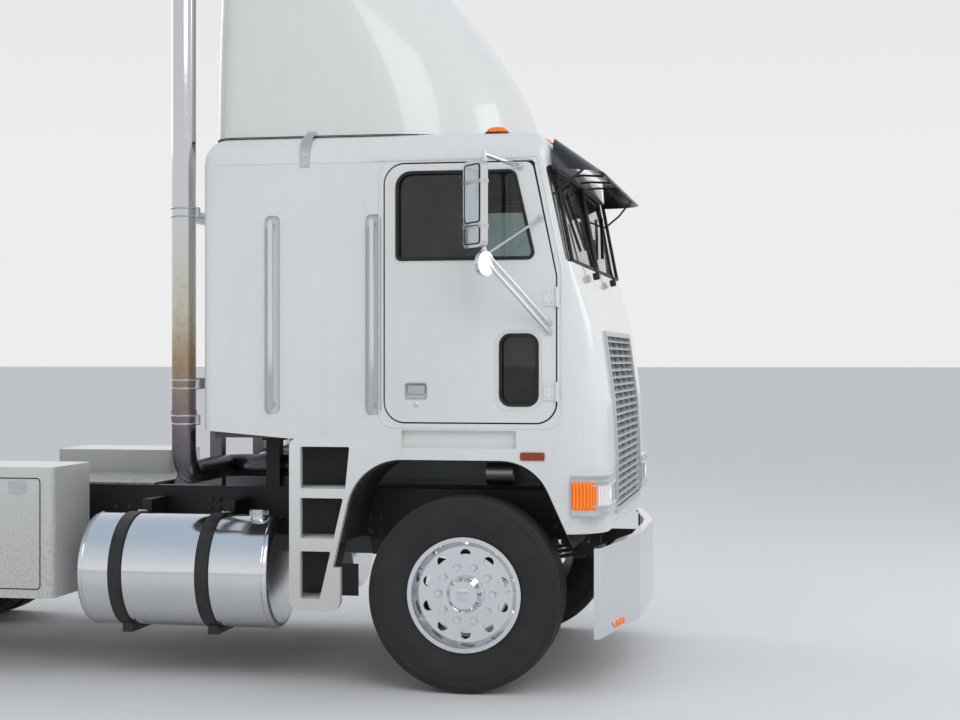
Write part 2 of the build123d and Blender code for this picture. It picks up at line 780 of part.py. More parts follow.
def side_box(side):
    """Smooth box beside the frame, behind the tank."""
    y_in, y_out = side * BOX_IN_Y, side * (CAB_HALF_W - TANK_INSET)
    body = block(BOX_REAR_X, BOX_FRONT_X, y_in, y_out, BOX_LOW_Z, BOX_TOP_Z)
    body = fillet(body.edges().filter_by(Axis.Z), BOX_CORNER_R)
    brackets = [
        block(x - 30, x + 30, side * RAIL_OUT_Y, y_in + side * 2, RAIL_TOP_Z - 220, RAIL_TOP_Z - 40)
        for x in (BOX_FRONT_X - 150, BOX_REAR_X + 150)
    ]
    return fused(body, *brackets)


def deck_plate():
    rear = DRIVE_X[0] + TYRE_R + 30
    return block(GEARBOX_END_X - 30, rear, -RAIL_OUT_Y, RAIL_OUT_Y, RAIL_TOP_Z, RAIL_TOP_Z + DECK_T)


# Exhaust: two stacks standing behind the cab on their own masts
def exhaust(side):
    y = side * STACK_Y
    corners = [
        (PIPE_START_X, side * PIPE_Y, PIPE_Z),
        (STACK_X, side * PIPE_Y, PIPE_Z),
        (STACK_X, y, PIPE_Z),
        (STACK_X, y, PIPE_Z + 300),
    ]
    path = FilletPolyline(*corners, radius=PIPE_BEND_R)
    elbow = sweep(Plane(origin=path @ 0, z_dir=path % 0) * Circle(STACK_R), path=path)
    pipe = rod((STACK_X, y, PIPE_Z + 290), (STACK_X, y, STACK_TOP_Z), STACK_R)
    collar = rod((STACK_X, y, PIPE_Z + 280), (STACK_X, y, PIPE_Z + 340), STACK_R + 4)
    mast_x = STACK_X - 40
    mast = block(mast_x - 35, mast_x + 35, side * 350, side * 425, RAIL_TOP_Z, MAST_TOP_Z)
    arms_z = (MAST_TOP_Z - 1000, MAST_TOP_Z - 80)
    arms = [block(mast_x - 20, mast_x + 20, side * 380, y, z, z + 60) for z in arms_z]
    bore = rod((STACK_X, y, STACK_TOP_Z - 200), (STACK_X, y, STACK_TOP_Z + 60), STACK_R - STACK_WALL)
    return fused(elbow, pipe, collar, mast, *arms) - bore


# Front bumper: a deep channel, flat in the middle, with both wings swept back
def bumper_face_x(y):
    """Where the bumper's face stands at a distance y from the middle."""
    share = (abs(y) - BUMPER_SWEEP_Y) / (BUMPER_HALF_W - BUMPER_SWEEP_Y)
    return FRONT_X - BUMPER_SWEEP * max(share, 0)


def bumper_band(inset, z0, z1):
    half = BUMPER_HALF_W - inset
    tip, nose = bumper_face_x(BUMPER_HALF_W) - inset, FRONT_X - inset
    wing = [(BUMPER_END_X, half), (tip, half), (nose, BUMPER_SWEEP_Y)]
    radii = [0.5, BUMPER_CORNER_R - inset, 400]
    return plan_prism(wing + [(x, -y) for x, y in reversed(wing)], z0, z1, radii + radii[::-1])


def bumper_lamp(side, y, start, end, radius):
    """A rod through the wing's face at y, square to it, from start to end beyond the face."""
    x = bumper_face_x(y)
    across = BUMPER_SWEEP / (BUMPER_HALF_W - BUMPER_SWEEP_Y)
    points = [(x + t, side * (y + t * across), FOG_LAMP_Z) for t in (start, end)]
    return rod(*points, radius)


def front_bumper():
    outer = bumper_band(0, BUMPER_LOW_Z, BUMPER_TOP_Z)
    inner = bumper_band(BUMPER_T, BUMPER_LOW_Z + BUMPER_T, BUMPER_TOP_Z - BUMPER_T)
    # Ahead of the cab, the flanges are narrow, so that the cab tilts past them
    wide = BUMPER_HALF_W - 140
    back = [(BUMPER_END_X - 20, wide), (bumper_face_x(wide) - BUMPER_FLANGE, wide)]
    back = back + [(FRONT_X - BUMPER_FLANGE, BUMPER_SWEEP_Y)]
    back = back + [(x, -y) for x, y in reversed(back)]
    shell = outer - inner - plan_prism(back, BUMPER_LOW_Z - 1, BUMPER_TOP_Z + 1)
    for side in SIDES.values():
        for y in FOG_LAMPS_Y:
            shell = shell - bumper_lamp(side, y, -40, 40, FOG_LAMP_R)
    backs = [
        block(BRACKET_FRONT_X, FRONT_X - 4, side * (RAIL_OUT_Y - 30), side * RAIL_OUT_Y, 560, 700)
        for side in SIDES.values()
    ]
    return fused(shell, *backs)


def bumper_lamps():
    return [
        bumper_lamp(side, y, -12, -1, FOG_LAMP_R - 0.5)
        for side in SIDES.values() for y in FOG_LAMPS_Y
    ]


# Fifth wheel: rocking plate with a throat, on two saddle brackets
def fifth_wheel():
    front, rear = PLATE_X + 330, PLATE_X - 600
    low = PLATE_TOP_Z - PLATE_T
    # The left half of the plan, from the front edge round to the mouth of the throat
    half = [(front, 260), (PLATE_X + 120, PLATE_HALF_W), (PLATE_X - 330, PLATE_HALF_W)]
    half = half + [(rear, 250), (rear, 130), (PLATE_X - 60, 36)]
    radii = [60, 120, 120, 30, 20, 12]
    points = half + [(x, -y) for x, y in reversed(half)]
    plate = plan_prism(points, low, PLATE_TOP_Z, radii + radii[::-1])
    jaw = block(PLATE_X - 66, PLATE_X + 60, -52, 52, low - 30, low + 34)
    jaw = jaw + block(PLATE_X - 60, PLATE_X - 10, -38, 38, low, PLATE_TOP_Z)
    plate = plate + jaw
    plate = plate - rod((PLATE_X, 0, low - 60), (PLATE_X, 0, PLATE_TOP_Z + 10), KINGPIN_R)
    ribs = [
        block(PLATE_X - 300, PLATE_X + 240, side * (y - 8), side * (y + 8), low - 34, low + 1)
        for side in SIDES.values() for y in (120, 230)
    ]
    cross = [block(PLATE_X + x - 8, PLATE_X + x + 8, -400, 400, low - 30, low + 1) for x in (110, 200)]
    plate = fused(plate, *ribs, *cross)
    for side in SIDES.values():
        y0, y1 = side * 300, side * 345
        ear = side_prism(
            [
                (PLATE_X - 110, low + 1),
                (PLATE_X + 110, low + 1),
                (PLATE_X + 40, ROCKER_PIN_Z - 36),
                (PLATE_X - 40, ROCKER_PIN_Z - 36),
            ],
            y0,
            y1,
        )
        pin = rod((PLATE_X, side * 290, ROCKER_PIN_Z), (PLATE_X, side * 392, ROCKER_PIN_Z), ROCKER_PIN_R)
        plate = plate + ear + pin
    return plate


def fifth_wheel_base():
    made = []
    for side in SIDES.values():
        y0, y1 = side * 352, side * 388
        foot_z = RAIL_TOP_Z
        cheek = side_prism(
            [
                (PLATE_X - 230, foot_z),
                (PLATE_X + 230, foot_z),
                (PLATE_X + 200, foot_z + 30),
                (PLATE_X + 46, ROCKER_PIN_Z + 18),
                (PLATE_X + 20, ROCKER_PIN_Z + 34),
                (PLATE_X - 20, ROCKER_PIN_Z + 34),
                (PLATE_X - 46, ROCKER_PIN_Z + 18),
                (PLATE_X - 200, foot_z + 30),
            ],
            y0,
            y1,
        )
        foot = block(PLATE_X - 260, PLATE_X + 260, side * 340, side * (RAIL_OUT_Y - 2), foot_z, foot_z + 14)
        bore_r = ROCKER_PIN_R + BORE_GAP
        bore = rod((PLATE_X, side * 280, ROCKER_PIN_Z), (PLATE_X, side * 440, ROCKER_PIN_Z), bore_r)
        made.append(cheek + foot - bore)
    return made


# Mudflaps and tail lamps
def mudflaps():
    made = []
    for side in SIDES.values():
        out = side * FLAP_OUT_Y
        z0, z1 = FLAP_TOP_Z - 5, RAIL_TOP_Z - 20
        hanger = block(FLAP_X - 20, FLAP_X + 20, side * RAIL_OUT_Y, out - side * 5, z0, z1)
        flap = block(FLAP_X - 6, FLAP_X + 6, out - side * FLAP_W, out, FLAP_LOW_Z, FLAP_TOP_Z)
        made.append(hanger + flap)
    return made


def tail_bar():
    z0, z1 = TAIL_LAMP_Z - TAIL_LAMP_R - 7, TAIL_LAMP_Z + TAIL_LAMP_R + 7
    bar = block(REAR_X + 14, REAR_X + 34, -520, 520, z0, z1)
    ends = [
        block(REAR_X + 14, REAR_X + 54, side * 340, side * 420, z0 - 20, RAIL_BOTTOM_Z + 5)
        for side in SIDES.values()
    ]
    return fused(bar, *ends)


def tail_lamps():
    made = []
    for side in SIDES.values():
        for y in TAIL_LAMPS_Y:
            start, end = (REAR_X + 14, side * y, TAIL_LAMP_Z), (REAR_X, side * y, TAIL_LAMP_Z)
            made.append(rod(start, end, TAIL_LAMP_R))
    return made


# Cab shell: ruled between plan outlines
def cab_outline(z, front, corner, inset):
    half = CAB_HALF_W - inset
    rear = CAB_REAR_X + inset
    nose = front - inset
    points = [(rear, -half), (nose, -half), (nose, half), (rear, half)]
    back_r = max(REAR_CORNER_R - inset, 8)
    nose_r = max(corner - inset, 12)
    return Pos(0, 0, z) * outline(points, [back_r, nose_r, nose_r, back_r])


def cab_solid(inset):
    return loft([cab_outline(z, front, corner, inset) for z, front, corner in CAB_LEVELS], ruled=True)


def cab_front_x(z):
    """Where the front face stands at height z."""
    for (z0, x0, _), (z1, x1, _) in zip(CAB_LEVELS, CAB_LEVELS[1:]):
        if z <= z1:
            return x0 + (x1 - x0) * (z - z0) / (z1 - z0)
    return CAB_LEVELS[-1][1]


def arch_outline(grow):
    """Wheel arch outline, drawn in by grow."""
    points = [
        (STEP_SEAM_X - 130 + grow, ARCH_LOW_Z),
        (STEP_SEAM_X + grow, ARCH_TOP_Z - grow),
        (370 - grow, ARCH_TOP_Z - grow),
        (627 - grow, ARCH_LOW_Z),
    ]
    return points, [1, 300 - grow, 270 - grow, 1]


def arch_tool(grow, y0, y1):
    points, radii = arch_outline(grow)
    return side_prism(points, y0, y1, radii)


# Door outline in side view. Its front edge stands upright to the pillar, then leans back along it.
PILLAR_Z = 2150
PILLAR_TOP_X = 368
DOOR_POINTS = [
    (DOOR_REAR_X, DOOR_BOTTOM_Z),
    (DOOR_PLANE_X - DOOR_GAP, DOOR_BOTTOM_Z),
    (DOOR_PLANE_X - DOOR_GAP, PILLAR_Z),
    (PILLAR_TOP_X - DOOR_GAP, DOOR_TOP_Z),
    (DOOR_REAR_X, DOOR_TOP_Z),
]
DOOR_RADII = [DOOR_CORNER_R, DOOR_CORNER_R, 60, 40, DOOR_CORNER_R]
# The doorway is the door's outline and its gap, open at the pillar
DOORWAY_POINTS = [
    (DOOR_REAR_X - DOOR_GAP, DOOR_BOTTOM_Z - DOOR_GAP),
    (DOOR_PLANE_X + 1, DOOR_BOTTOM_Z - DOOR_GAP),
    (DOOR_PLANE_X + 1, DOOR_TOP_Z + DOOR_GAP),
    (DOOR_REAR_X - DOOR_GAP, DOOR_TOP_Z + DOOR_GAP),
]
DOORWAY_RADII = [DOOR_CORNER_R + DOOR_GAP, DOOR_CORNER_R + DOOR_GAP, 1, DOOR_CORNER_R + DOOR_GAP]
# The line along which front and sides part
SEAM_POINTS = [
    (DOOR_PLANE_X, ARCH_LOW_Z),
    (DOOR_PLANE_X, PILLAR_Z),
    (PILLAR_TOP_X, ROOF_SEAM_Z),
    (PILLAR_TOP_X, ROOF_Z),
    (FRONT_X, ROOF_Z),
    (FRONT_X, ARCH_LOW_Z),
]
SCREEN_POINTS = [(531, 2222), (426, ROOF_SEAM_Z - 30), (FRONT_X, ROOF_SEAM_Z - 30), (FRONT_X, 2222)]
# Under the doors, a toe recess: rear, front, bottom and top
TOE_RECESS = (-322, 277, 1266, 1358)


def rectangle(x0, x1, z0, z1):
    return [(x0, z0), (x1, z0), (x1, z1), (x0, z1)]


def cab_parts():
    outer, inner = cab_solid(0), cab_solid(CAB_WALL)
    tube = outer - inner
    wide = PAST_SIDE
    ahead = side_prism(SEAM_POINTS, -wide, wide)
    # Everything under the sleeper's sloping sill and inside the arches goes
    past = CAB_REAR_X - 95
    sill = side_prism(
        [
            (past, ARCH_LOW_Z),
            (STEP_SEAM_X, ARCH_LOW_Z),
            (STEP_SEAM_X, FLOOR_Z),
            (STEP_REAR_X, FLOOR_Z),
            (past, FLOOR_Z + 48),
        ],
        -wide,
        wide,
    )
    arch = arch_tool(0, -wide, wide)
    tube = tube - sill - arch

    front = tube & ahead
    rest = tube - ahead
    sleeper = rest & block(past, SLEEPER_SEAM_X, -wide, wide, ARCH_LOW_Z, ROOF_Z)
    sides = rest & block(SLEEPER_SEAM_X, FRONT_X, -wide, wide, ARCH_LOW_Z, ROOF_Z)

    # Doorways, toe recesses below the doors and the grab rail recesses
    sides = sides - side_prism(DOORWAY_POINTS, -wide, wide, DOORWAY_RADII)
    for side in SIDES.values():
        y0, y1 = side * (CAB_HALF_W - 36), side * (CAB_HALF_W + 10)
        sides = sides - side_prism(rectangle(*TOE_RECESS), y0, y1, [10] * 4)
        sides = sides - rail_recess(GRAB_X[0], side)
        sleeper = sleeper - rail_recess(GRAB_X[1], side)

    # Windscreen opening, with a centre bar, then the grille and lamp openings
    screen = side_prism(SCREEN_POINTS, -wide, wide, [20, 20, 1, 1])
    centre_bar = block(300, FRONT_X, -17, 17, 2000, ROOF_SEAM_Z - 5)
    screen = screen - centre_bar
    front = front - screen
    front = front - block(500, FRONT_X, -GRILLE_HALF_W, GRILLE_HALF_W, GRILLE_LOW_Z, GRILLE_TOP_Z)
    for side in SIDES.values():
        front = front - lamp_block(side, 0)
        ear_in, ear_out = side * (RAIL_OUT_Y + 13), side * (RAIL_OUT_Y + 53)
        ear = block(PIVOT_X - 45, PIVOT_X + 22, ear_in, ear_out, PIVOT_Z, PIVOT_Z + 200)
        eye = rod((PIVOT_X, ear_in, PIVOT_Z), (PIVOT_X, ear_out, PIVOT_Z), PIN_R + 24)
        start, end = (PIVOT_X, ear_in - side * 15, PIVOT_Z), (PIVOT_X, ear_out + side * 35, PIVOT_Z)
        pin = rod(start, end, PIN_R + BORE_GAP)
        front = front + ear + eye - pin
    glass = (cab_solid(SCREEN_INSET) - cab_solid(SCREEN_INSET + SCREEN_T)) & screen
    return front, sides, sleeper, glass


def rail_recess(x, side):
    half = RAIL_RECESS_W / 2
    y0, y1 = side * (CAB_HALF_W - RAIL_RECESS_DEPTH), side * (CAB_HALF_W + 10)
    return side_prism(rectangle(x - half, x + half, RAIL_LOW_Z, RAIL_HIGH_Z), y0, y1, [30] * 4)


def grab_bars():
    made = []
    for side in SIDES.values():
        y = side * (CAB_HALF_W + GRAB_OUT)
        inner = side * (CAB_HALF_W - RAIL_RECESS_DEPTH)
        for x in GRAB_X:
            bar = rod((x, y, RAIL_LOW_Z + 30), (x, y, RAIL_HIGH_Z - 30), GRAB_R)
            for z in (RAIL_LOW_Z + 50, RAIL_HIGH_Z - 50):
                bar = bar + rod((x, inner, z), (x, y, z), GRAB_R - 3)
            made.append(bar)
    return made


def cab_roof():
    _, front, corner = CAB_LEVELS[-1]
    outer = loft([cab_outline(z, front, corner, drawn_in) for z, drawn_in in ROOF_LEVELS], ruled=True)
    # Inside: height and how far the outline has drawn in
    levels = [
        (ROOF_SEAM_Z - 1, CAB_WALL),
        (ROOF_LEVELS[1][0], CAB_WALL + 20),
        (ROOF_Z - CAB_WALL, CAB_WALL + 120),
    ]
    hollow = loft([cab_outline(z, front, corner, drawn_in) for z, drawn_in in levels], ruled=True)
    return outer - hollow


# Floor with the engine tunnel and the sleeper's bunk base
def cab_floor():
    back = CAB_REAR_X + CAB_WALL
    wall = CAB_HALF_W - CAB_WALL
    corner = REAR_CORNER_R - CAB_WALL
    slab = plan_prism(
        [(back, -wall), (DOOR_PLANE_X, -wall), (655, -930), (655, 930), (DOOR_PLANE_X, wall), (back, wall)],
        FLOOR_Z, FLOOR_Z + FLOOR_T, [corner, 1, 1, 1, 1, corner])
    low_top = BUNK_Z - 20
    under, low_under = TUNNEL_TOP_Z - TUNNEL_WALL, low_top - TUNNEL_WALL
    top = [
        (back, FLOOR_Z),
        (664, FLOOR_Z),
        (612, TUNNEL_TOP_Z),
        (150, TUNNEL_TOP_Z),
        (40, low_top),
        (back, low_top),
    ]
    room = [
        (back - 10, FLOOR_Z - 10),
        (700, FLOOR_Z - 10),
        (700, under),
        (165, under),
        (55, low_under),
        (back - 10, low_under),
    ]
    tunnel = side_prism(top, -TUNNEL_HALF, TUNNEL_HALF)
    hollow = side_prism(room, -TUNNEL_HALF + TUNNEL_WALL, TUNNEL_HALF - TUNNEL_WALL)
    made = slab + tunnel - hollow
    for side in SIDES.values():
        y0, y1 = side * (TUNNEL_HALF - 2), side * wall
        made = made + block(BUNK_FRONT_X - 25, BUNK_FRONT_X, y0, y1, FLOOR_Z + 10, BUNK_Z)
    made = made + plan_prism(
        [(back, -wall), (BUNK_FRONT_X, -wall), (BUNK_FRONT_X, wall), (back, wall)],
        BUNK_Z - 20, BUNK_Z, [corner, 1, 1, corner])
    return made


def arch_liners():
    made = []
    for side in SIDES.values():
        y0, y1 = side * ARCH_IN_Y, side * (CAB_HALF_W - CAB_WALL)
        liner = arch_tool(0.5, y0, y1) - arch_tool(ARCH_LINER_T, -PAST_SIDE, PAST_SIDE)
        below = block(STEP_REAR_X, FRONT_X, -PAST_SIDE, PAST_SIDE, ARCH_LOW_Z - 1, ARCH_LINER_LOW_Z)
        made.append(liner - below)
    return made


# Steps: an upright ladder behind the arch, with three treads
def well_front(z):
    """Where a well's front edge stands at height z: it leans forward with the arch."""
    return min(STEP_FRONT_X - 110 + (z - STEP_WELLS[-1][0]) * STEP_LEAN, STEP_WELL_FRONT_X)


def entry_steps():
    made = []
    points, radii = arch_outline(0)
    arch = side_prism(points, -PAST_SIDE, PAST_SIDE, radii)
    for side in SIDES.values():
        y_out, y_in = side * CAB_HALF_W, side * (CAB_HALF_W - STEP_DEPTH)
        face_in = side * (CAB_HALF_W - STEP_SKIN)
        shape = side_prism(
            [
                (STEP_REAR_X, STEP_LOW_Z),
                (STEP_FRONT_X, STEP_LOW_Z),
                (STEP_FRONT_X, 760),
                (STEP_SEAM_X, 1000),
                (STEP_SEAM_X, FLOOR_Z),
                (STEP_REAR_X, FLOOR_Z),
            ],
            y_out,
            face_in,
            [60, 60, 1, 1, 1, 40],
        )
        for z0, z1 in STEP_WELLS:
            rear = STEP_WELL_REAR_X
            corners = [(rear, z0), (well_front(z0), z0), (well_front(z1), z1), (rear, z1)]
            shape = shape - side_prism(corners, -PAST_SIDE, PAST_SIDE, [8] * 4)
        treads = []
        for z0, _ in STEP_WELLS:
            front = well_front(z0 - 50) + 10
            treads.append(block(STEP_REAR_X + 20, front, face_in + side * 2, y_in, z0 - TREAD_T, z0))
        back = block(STEP_REAR_X + 8, STEP_WELL_FRONT_X, y_in, y_in + side * 8, STEP_LOW_Z + 60, FLOOR_Z)
        made.append(fused(shape, back, *treads) - arch)
    return made


# Grille: proud surround, upright bars and a stack of louvres, all bent like the cab's face
GRILLE_BENDS = [z for z, _, _ in CAB_LEVELS if GRILLE_LOW_Z < z < GRILLE_TOP_Z]
GRILLE_POSTS = [-GRILLE_HALF_W + 6, -310, 0, 310, GRILLE_HALF_W - 6]


def grille():
    face = [(cab_front_x(z), z) for z in [GRILLE_LOW_Z - 30, *GRILLE_BENDS, GRILLE_TOP_Z + 26]]
    proud = [(x + GRILLE_LIP, z) for x, z in reversed(face)]
    ring = side_prism(face + proud, -GRILLE_HALF_W - 30, GRILLE_HALF_W + 30)
    made = ring - block(500, FRONT_X, -GRILLE_HALF_W, GRILLE_HALF_W, GRILLE_LOW_Z, GRILLE_TOP_Z)
    step = (GRILLE_TOP_Z - GRILLE_LOW_Z) / LOUVRES
    for i in range(LOUVRES):
        z = GRILLE_LOW_Z + step * (i + 0.5)
        x = cab_front_x(z)
        # Each louvre leans down to the front and ends in a short upright lip
        low = z - LOUVRE_T
        section = [(x - 34, z + 6), (x + 2, low), (x + 8, low), (x + 8, low + 6), (x - 34, z + 14)]
        made = made + side_prism(section, -GRILLE_HALF_W, GRILLE_HALF_W)
    levels = [GRILLE_LOW_Z, *GRILLE_BENDS, GRILLE_TOP_Z]
    back = [(cab_front_x(z) - 30, z) for z in levels]
    front = [(cab_front_x(z) - 4, z) for z in reversed(levels)]
    for y in GRILLE_POSTS:
        made = made + side_prism(back + front, y - 6, y + 6)
    return made


# Lamps at the cab's corners: a housing with an inner headlamp, and an outer one and a turn lamp that
# follow the corner
LAMP_IN_Y = CAB_HALF_W - 428
LAMP_STEP_Y = CAB_HALF_W - 270
HEADLAMPS_Y = [LAMP_IN_Y + 16, LAMP_IN_Y + 184]


def lamp_block(side, inset):
    front, rear = LAMP_FRONT_X - inset, LAMP_REAR_X + inset
    out, inner, step = (side * y for y in (CAB_HALF_W + LAMP_PROUD - inset, LAMP_IN_Y + inset, LAMP_STEP_Y))
    inner_x = LAMP_REAR_X + 80
    points = [(rear, step), (rear, out), (front, out), (front, inner), (inner_x, inner), (inner_x, step)]
    return plan_prism(points, LAMP_LOW_Z + inset, LAMP_HIGH_Z - inset, [1, 1, LAMP_CORNER_R, 1, 1, 1])


def lamp_housings():
    return [lamp_block(side, 0) - [*headlamp_lenses(side), turn_lens(side)] for side in SIDES.values()]


def headlamp_lenses(side):
    z0, z1 = LAMP_LOW_Z + 50, LAMP_HIGH_Z - 48
    inner, outer = (side * y for y in HEADLAMPS_Y)
    flat = block(LAMP_FRONT_X - 4 - HEADLAMP_T, LAMP_FRONT_X - 4, inner, inner + side * HEADLAMP_W, z0, z1)
    band = lamp_block(side, 0) - lamp_block(side, HEADLAMP_T)
    wrapped = band & block(TURN_FRONT_X + 6, FRONT_X, outer, side * PAST_SIDE, z0, z1)
    return [flat, wrapped]


def turn_lens(side):
    band = lamp_block(side, 0) - lamp_block(side, LENS_T)
    inner = side * (CAB_HALF_W - 85)
    z0, z1 = LAMP_LOW_Z + 26, LAMP_HIGH_Z - 26
    return band & block(LAMP_REAR_X + 6, TURN_FRONT_X, inner, side * PAST_SIDE, z0, z1)


# Marker lamps on the roof: the outer two stand further back, beside the fairing
MARKERS_Y = [170 - CAB_HALF_W, -500, 0, 500, CAB_HALF_W - 170]


def marker_lamps():
    made = []
    for y in MARKERS_Y:
        x = 150 if abs(y) == MARKERS_Y[-1] else 310
        lamp = Pos(x, y, ROOF_Z + MARKER_H / 2) * Box(MARKER_LENGTH, MARKER_W, MARKER_H)
        made.append(fillet(lamp.edges().filter_by(Axis.Z), MARKER_W / 3))
    return made


# Sun visor: a curved blade hung over the windscreen
def visor_outline(z, front, half, corner, inset):
    rear, nose, side_y = PILLAR_TOP_X - 170, front - inset, half - inset
    points = [(rear, -side_y), (nose, -side_y), (nose, side_y), (rear, side_y)]
    return Pos(0, 0, z) * outline(points, [1, corner, corner, 1])


def sun_visor():
    skins = []
    for inset in (0, VISOR_T):
        high = visor_outline(VISOR_TOP_Z, 452, CAB_HALF_W - 30, 90, inset)
        low = visor_outline(VISOR_LOW_Z, VISOR_REACH_X, CAB_HALF_W + 8, 230, inset)
        skins.append(loft([high, low], ruled=True))
    # The blade ends at the pillar, just ahead of the roof's front edge
    return (skins[0] - skins[1]) & block(462, FRONT_X, -PAST_SIDE, PAST_SIDE, VISOR_LOW_Z - 1, ROOF_Z)


# Roof fairing: ruled between plan outlines
def fairing_outline(z, front, narrower, nose, inset):
    rear = CAB_REAR_X + inset
    w = CAB_HALF_W - narrower - inset
    points = [(rear, -w), (front - inset, -w), (front - inset, w), (rear, w)]
    tail = FAIRING_TAIL_R - inset
    return Pos(0, 0, z) * outline(points, [tail, nose - inset, nose - inset, tail])


def fairing_solid(inset):
    sections = []
    for z, front, narrower, nose in FAIRING_LEVELS:
        drop = inset if z > FAIRING_TOP_Z - 300 else 0
        start = 1 if inset and z == ROOF_Z else 0
        sections.append(fairing_outline(z - drop - start, front, narrower, nose, inset))
    return loft(sections, ruled=True)


def roof_fairing():
    half = CAB_HALF_W - FAIRING_OPEN_IN - FAIRING_TAIL_R
    rear = CAB_REAR_X - 1
    opening = block(rear, CAB_REAR_X + FAIRING_SKIN * 3, -half, half, ROOF_Z - 1, FAIRING_OPEN_TOP_Z)
    return fairing_solid(0) - fairing_solid(FAIRING_SKIN) - opening


# Doors, with glass, mirror and arms
def door(side):
    y_out, y_in = side * CAB_HALF_W, side * (CAB_HALF_W - CAB_WALL)
    panel = side_prism(DOOR_POINTS, y_out, y_in, DOOR_RADII)
    panel = panel - side_prism(WINDOW_POINTS, -PAST_SIDE, PAST_SIDE, WINDOW_RADII)
    panel = panel - side_prism(PEEP_POINTS, -PAST_SIDE, PAST_SIDE, PEEP_RADII)
    panel = panel - side_prism(rectangle(*HANDLE_RECESS), y_out + side, y_out - side * 22, [12] * 4)
    for z in HINGES_Z:
        pin_y = side * (CAB_HALF_W + HINGE_PIN_OUT)
        hinge = rod((DOOR_PLANE_X, pin_y, z - 50), (DOOR_PLANE_X, pin_y, z + 50), HINGE_PIN_R)
        leaf = block(DOOR_PLANE_X - 70, DOOR_PLANE_X, y_out, y_out + side * 8, z - 45, z + 45)
        panel = panel + leaf + hinge
    return panel


def door_glass(side):
    y0, y1 = side * (CAB_HALF_W - GLASS_INSET), side * (CAB_HALF_W - GLASS_INSET - GLASS_T)
    main = side_prism(WINDOW_POINTS, y0, y1, WINDOW_RADII)
    peep = side_prism(PEEP_POINTS, y0, y1, PEEP_RADII)
    return [main, peep]


def mirror_set(side):
    centre = Location((MIRROR_X, side * MIRROR_Y, MIRROR_Z), (0, 0, -side * MIRROR_TURN))
    head = Box(38, 190, 430)
    head = fillet(head.edges().filter_by(Axis.X), 28)
    head = centre * head
    y = side * (MIRROR_Y + 12)
    post_x = MIRROR_X + 45
    post = rod((post_x, y, 2205), (post_x, y, 2752), 11)
    clamps = [rod((MIRROR_X, side * MIRROR_Y, z), (post_x, y, z), 12) for z in (2380, 2600)]
    upper = rod((post_x, y, 2740), (300, side * CAB_HALF_W, 2706), 11)
    lower = []
    for dz in (0, 46):
        lower.append(rod((post_x, y, 2215 + dz), (448, side * CAB_HALF_W, 1860 + dz), 10))
    brace = rod((post_x, y, 2235), (402, side * CAB_HALF_W, 2440), 7)
    spot = rod((post_x - 8, y - side * 4, 2195), (post_x + 14, y + side * 8, 2195), 62)
    body = fused(head, post, *clamps, upper, *lower, brace, spot)
    return body - block(MIRROR_X - 200, FRONT_X, 0, side * CAB_HALF_W, 1500, ROOF_Z)


# Inside the cab: dashboard, steering wheel, seats and bunk
def dashboard():
    y = CAB_HALF_W - CAB_WALL - 6
    low, top = TUNNEL_TOP_Z + 10, TUNNEL_TOP_Z + 290
    section = [(600, low), (330, low), (300, low + 70), (330, top - 50), (470, top), (500, top)]
    shape = side_prism(section, -y, y, [1, 30, 20, 40, 20, 1])
    return (shape & cab_solid(CAB_WALL + 1)) + steering_wheel()


def steering_wheel():
    centre = Location((WHEEL_AT_X, SEAT_Y, WHEEL_AT_Z), (0, 25, 0))
    ring = centre * Torus(STEERING_R, STEERING_GRIP_R)
    spoke_along = centre * Box(STEERING_R * 2 - 20, 34, 16)
    spoke_across = centre * Box(34, STEERING_R * 2 - 20, 16)
    boss = centre * Cylinder(52, 40)
    column = rod((WHEEL_AT_X, SEAT_Y, WHEEL_AT_Z), (WHEEL_AT_X + 195, SEAT_Y, WHEEL_AT_Z - 405), 26)
    return fused(ring, spoke_along, spoke_across, boss, column)


def seats():
    made = []
    half = SEAT_W / 2
    for side in SIDES.values():
        y0, y1 = side * (SEAT_Y - half), side * (SEAT_Y + half)
        base = block(-470, -40, y0 + side * 40, y1 - side * 40, FLOOR_Z + FLOOR_T, SEAT_Z)
        cushion = side_prism(
            [(-500, SEAT_Z), (-10, SEAT_Z), (20, SEAT_Z + 60), (0, SEAT_Z + 130), (-500, SEAT_Z + 100)],
            y0,
            y1,
            [10, 30, 20, 30, 10],
        )
        top = SEAT_Z + 790
        back = side_prism(
            [(-500, SEAT_Z + 60), (-380, SEAT_Z + 80), (-460, top), (-560, top), (-640, SEAT_Z + 100)],
            y0,
            y1,
            [10, 20, 40, 40, 20],
        )
        made.append(base + cushion + back)
    return made


def bunk():
    wall = CAB_HALF_W - CAB_WALL - 8
    mattress = block(CAB_REAR_X + CAB_WALL + 8, BUNK_FRONT_X - 12, -wall, wall, BUNK_Z + 0.3, BUNK_Z + BUNK_T)
    return fillet(mattress.edges().filter_by(Axis.Y), 40)


# Writing the pieces
def moved(shape):
    return Pos(-ORIGIN_X, 0, 0) * shape


def write(name, shape):
    solids = []
    for piece in shape if isinstance(shape, list) else [shape]:
        solids.extend(piece.solids())
    whole = Compound(children=[moved(s) for s in solids])
    export_step(whole, f"parts/{name}.step")


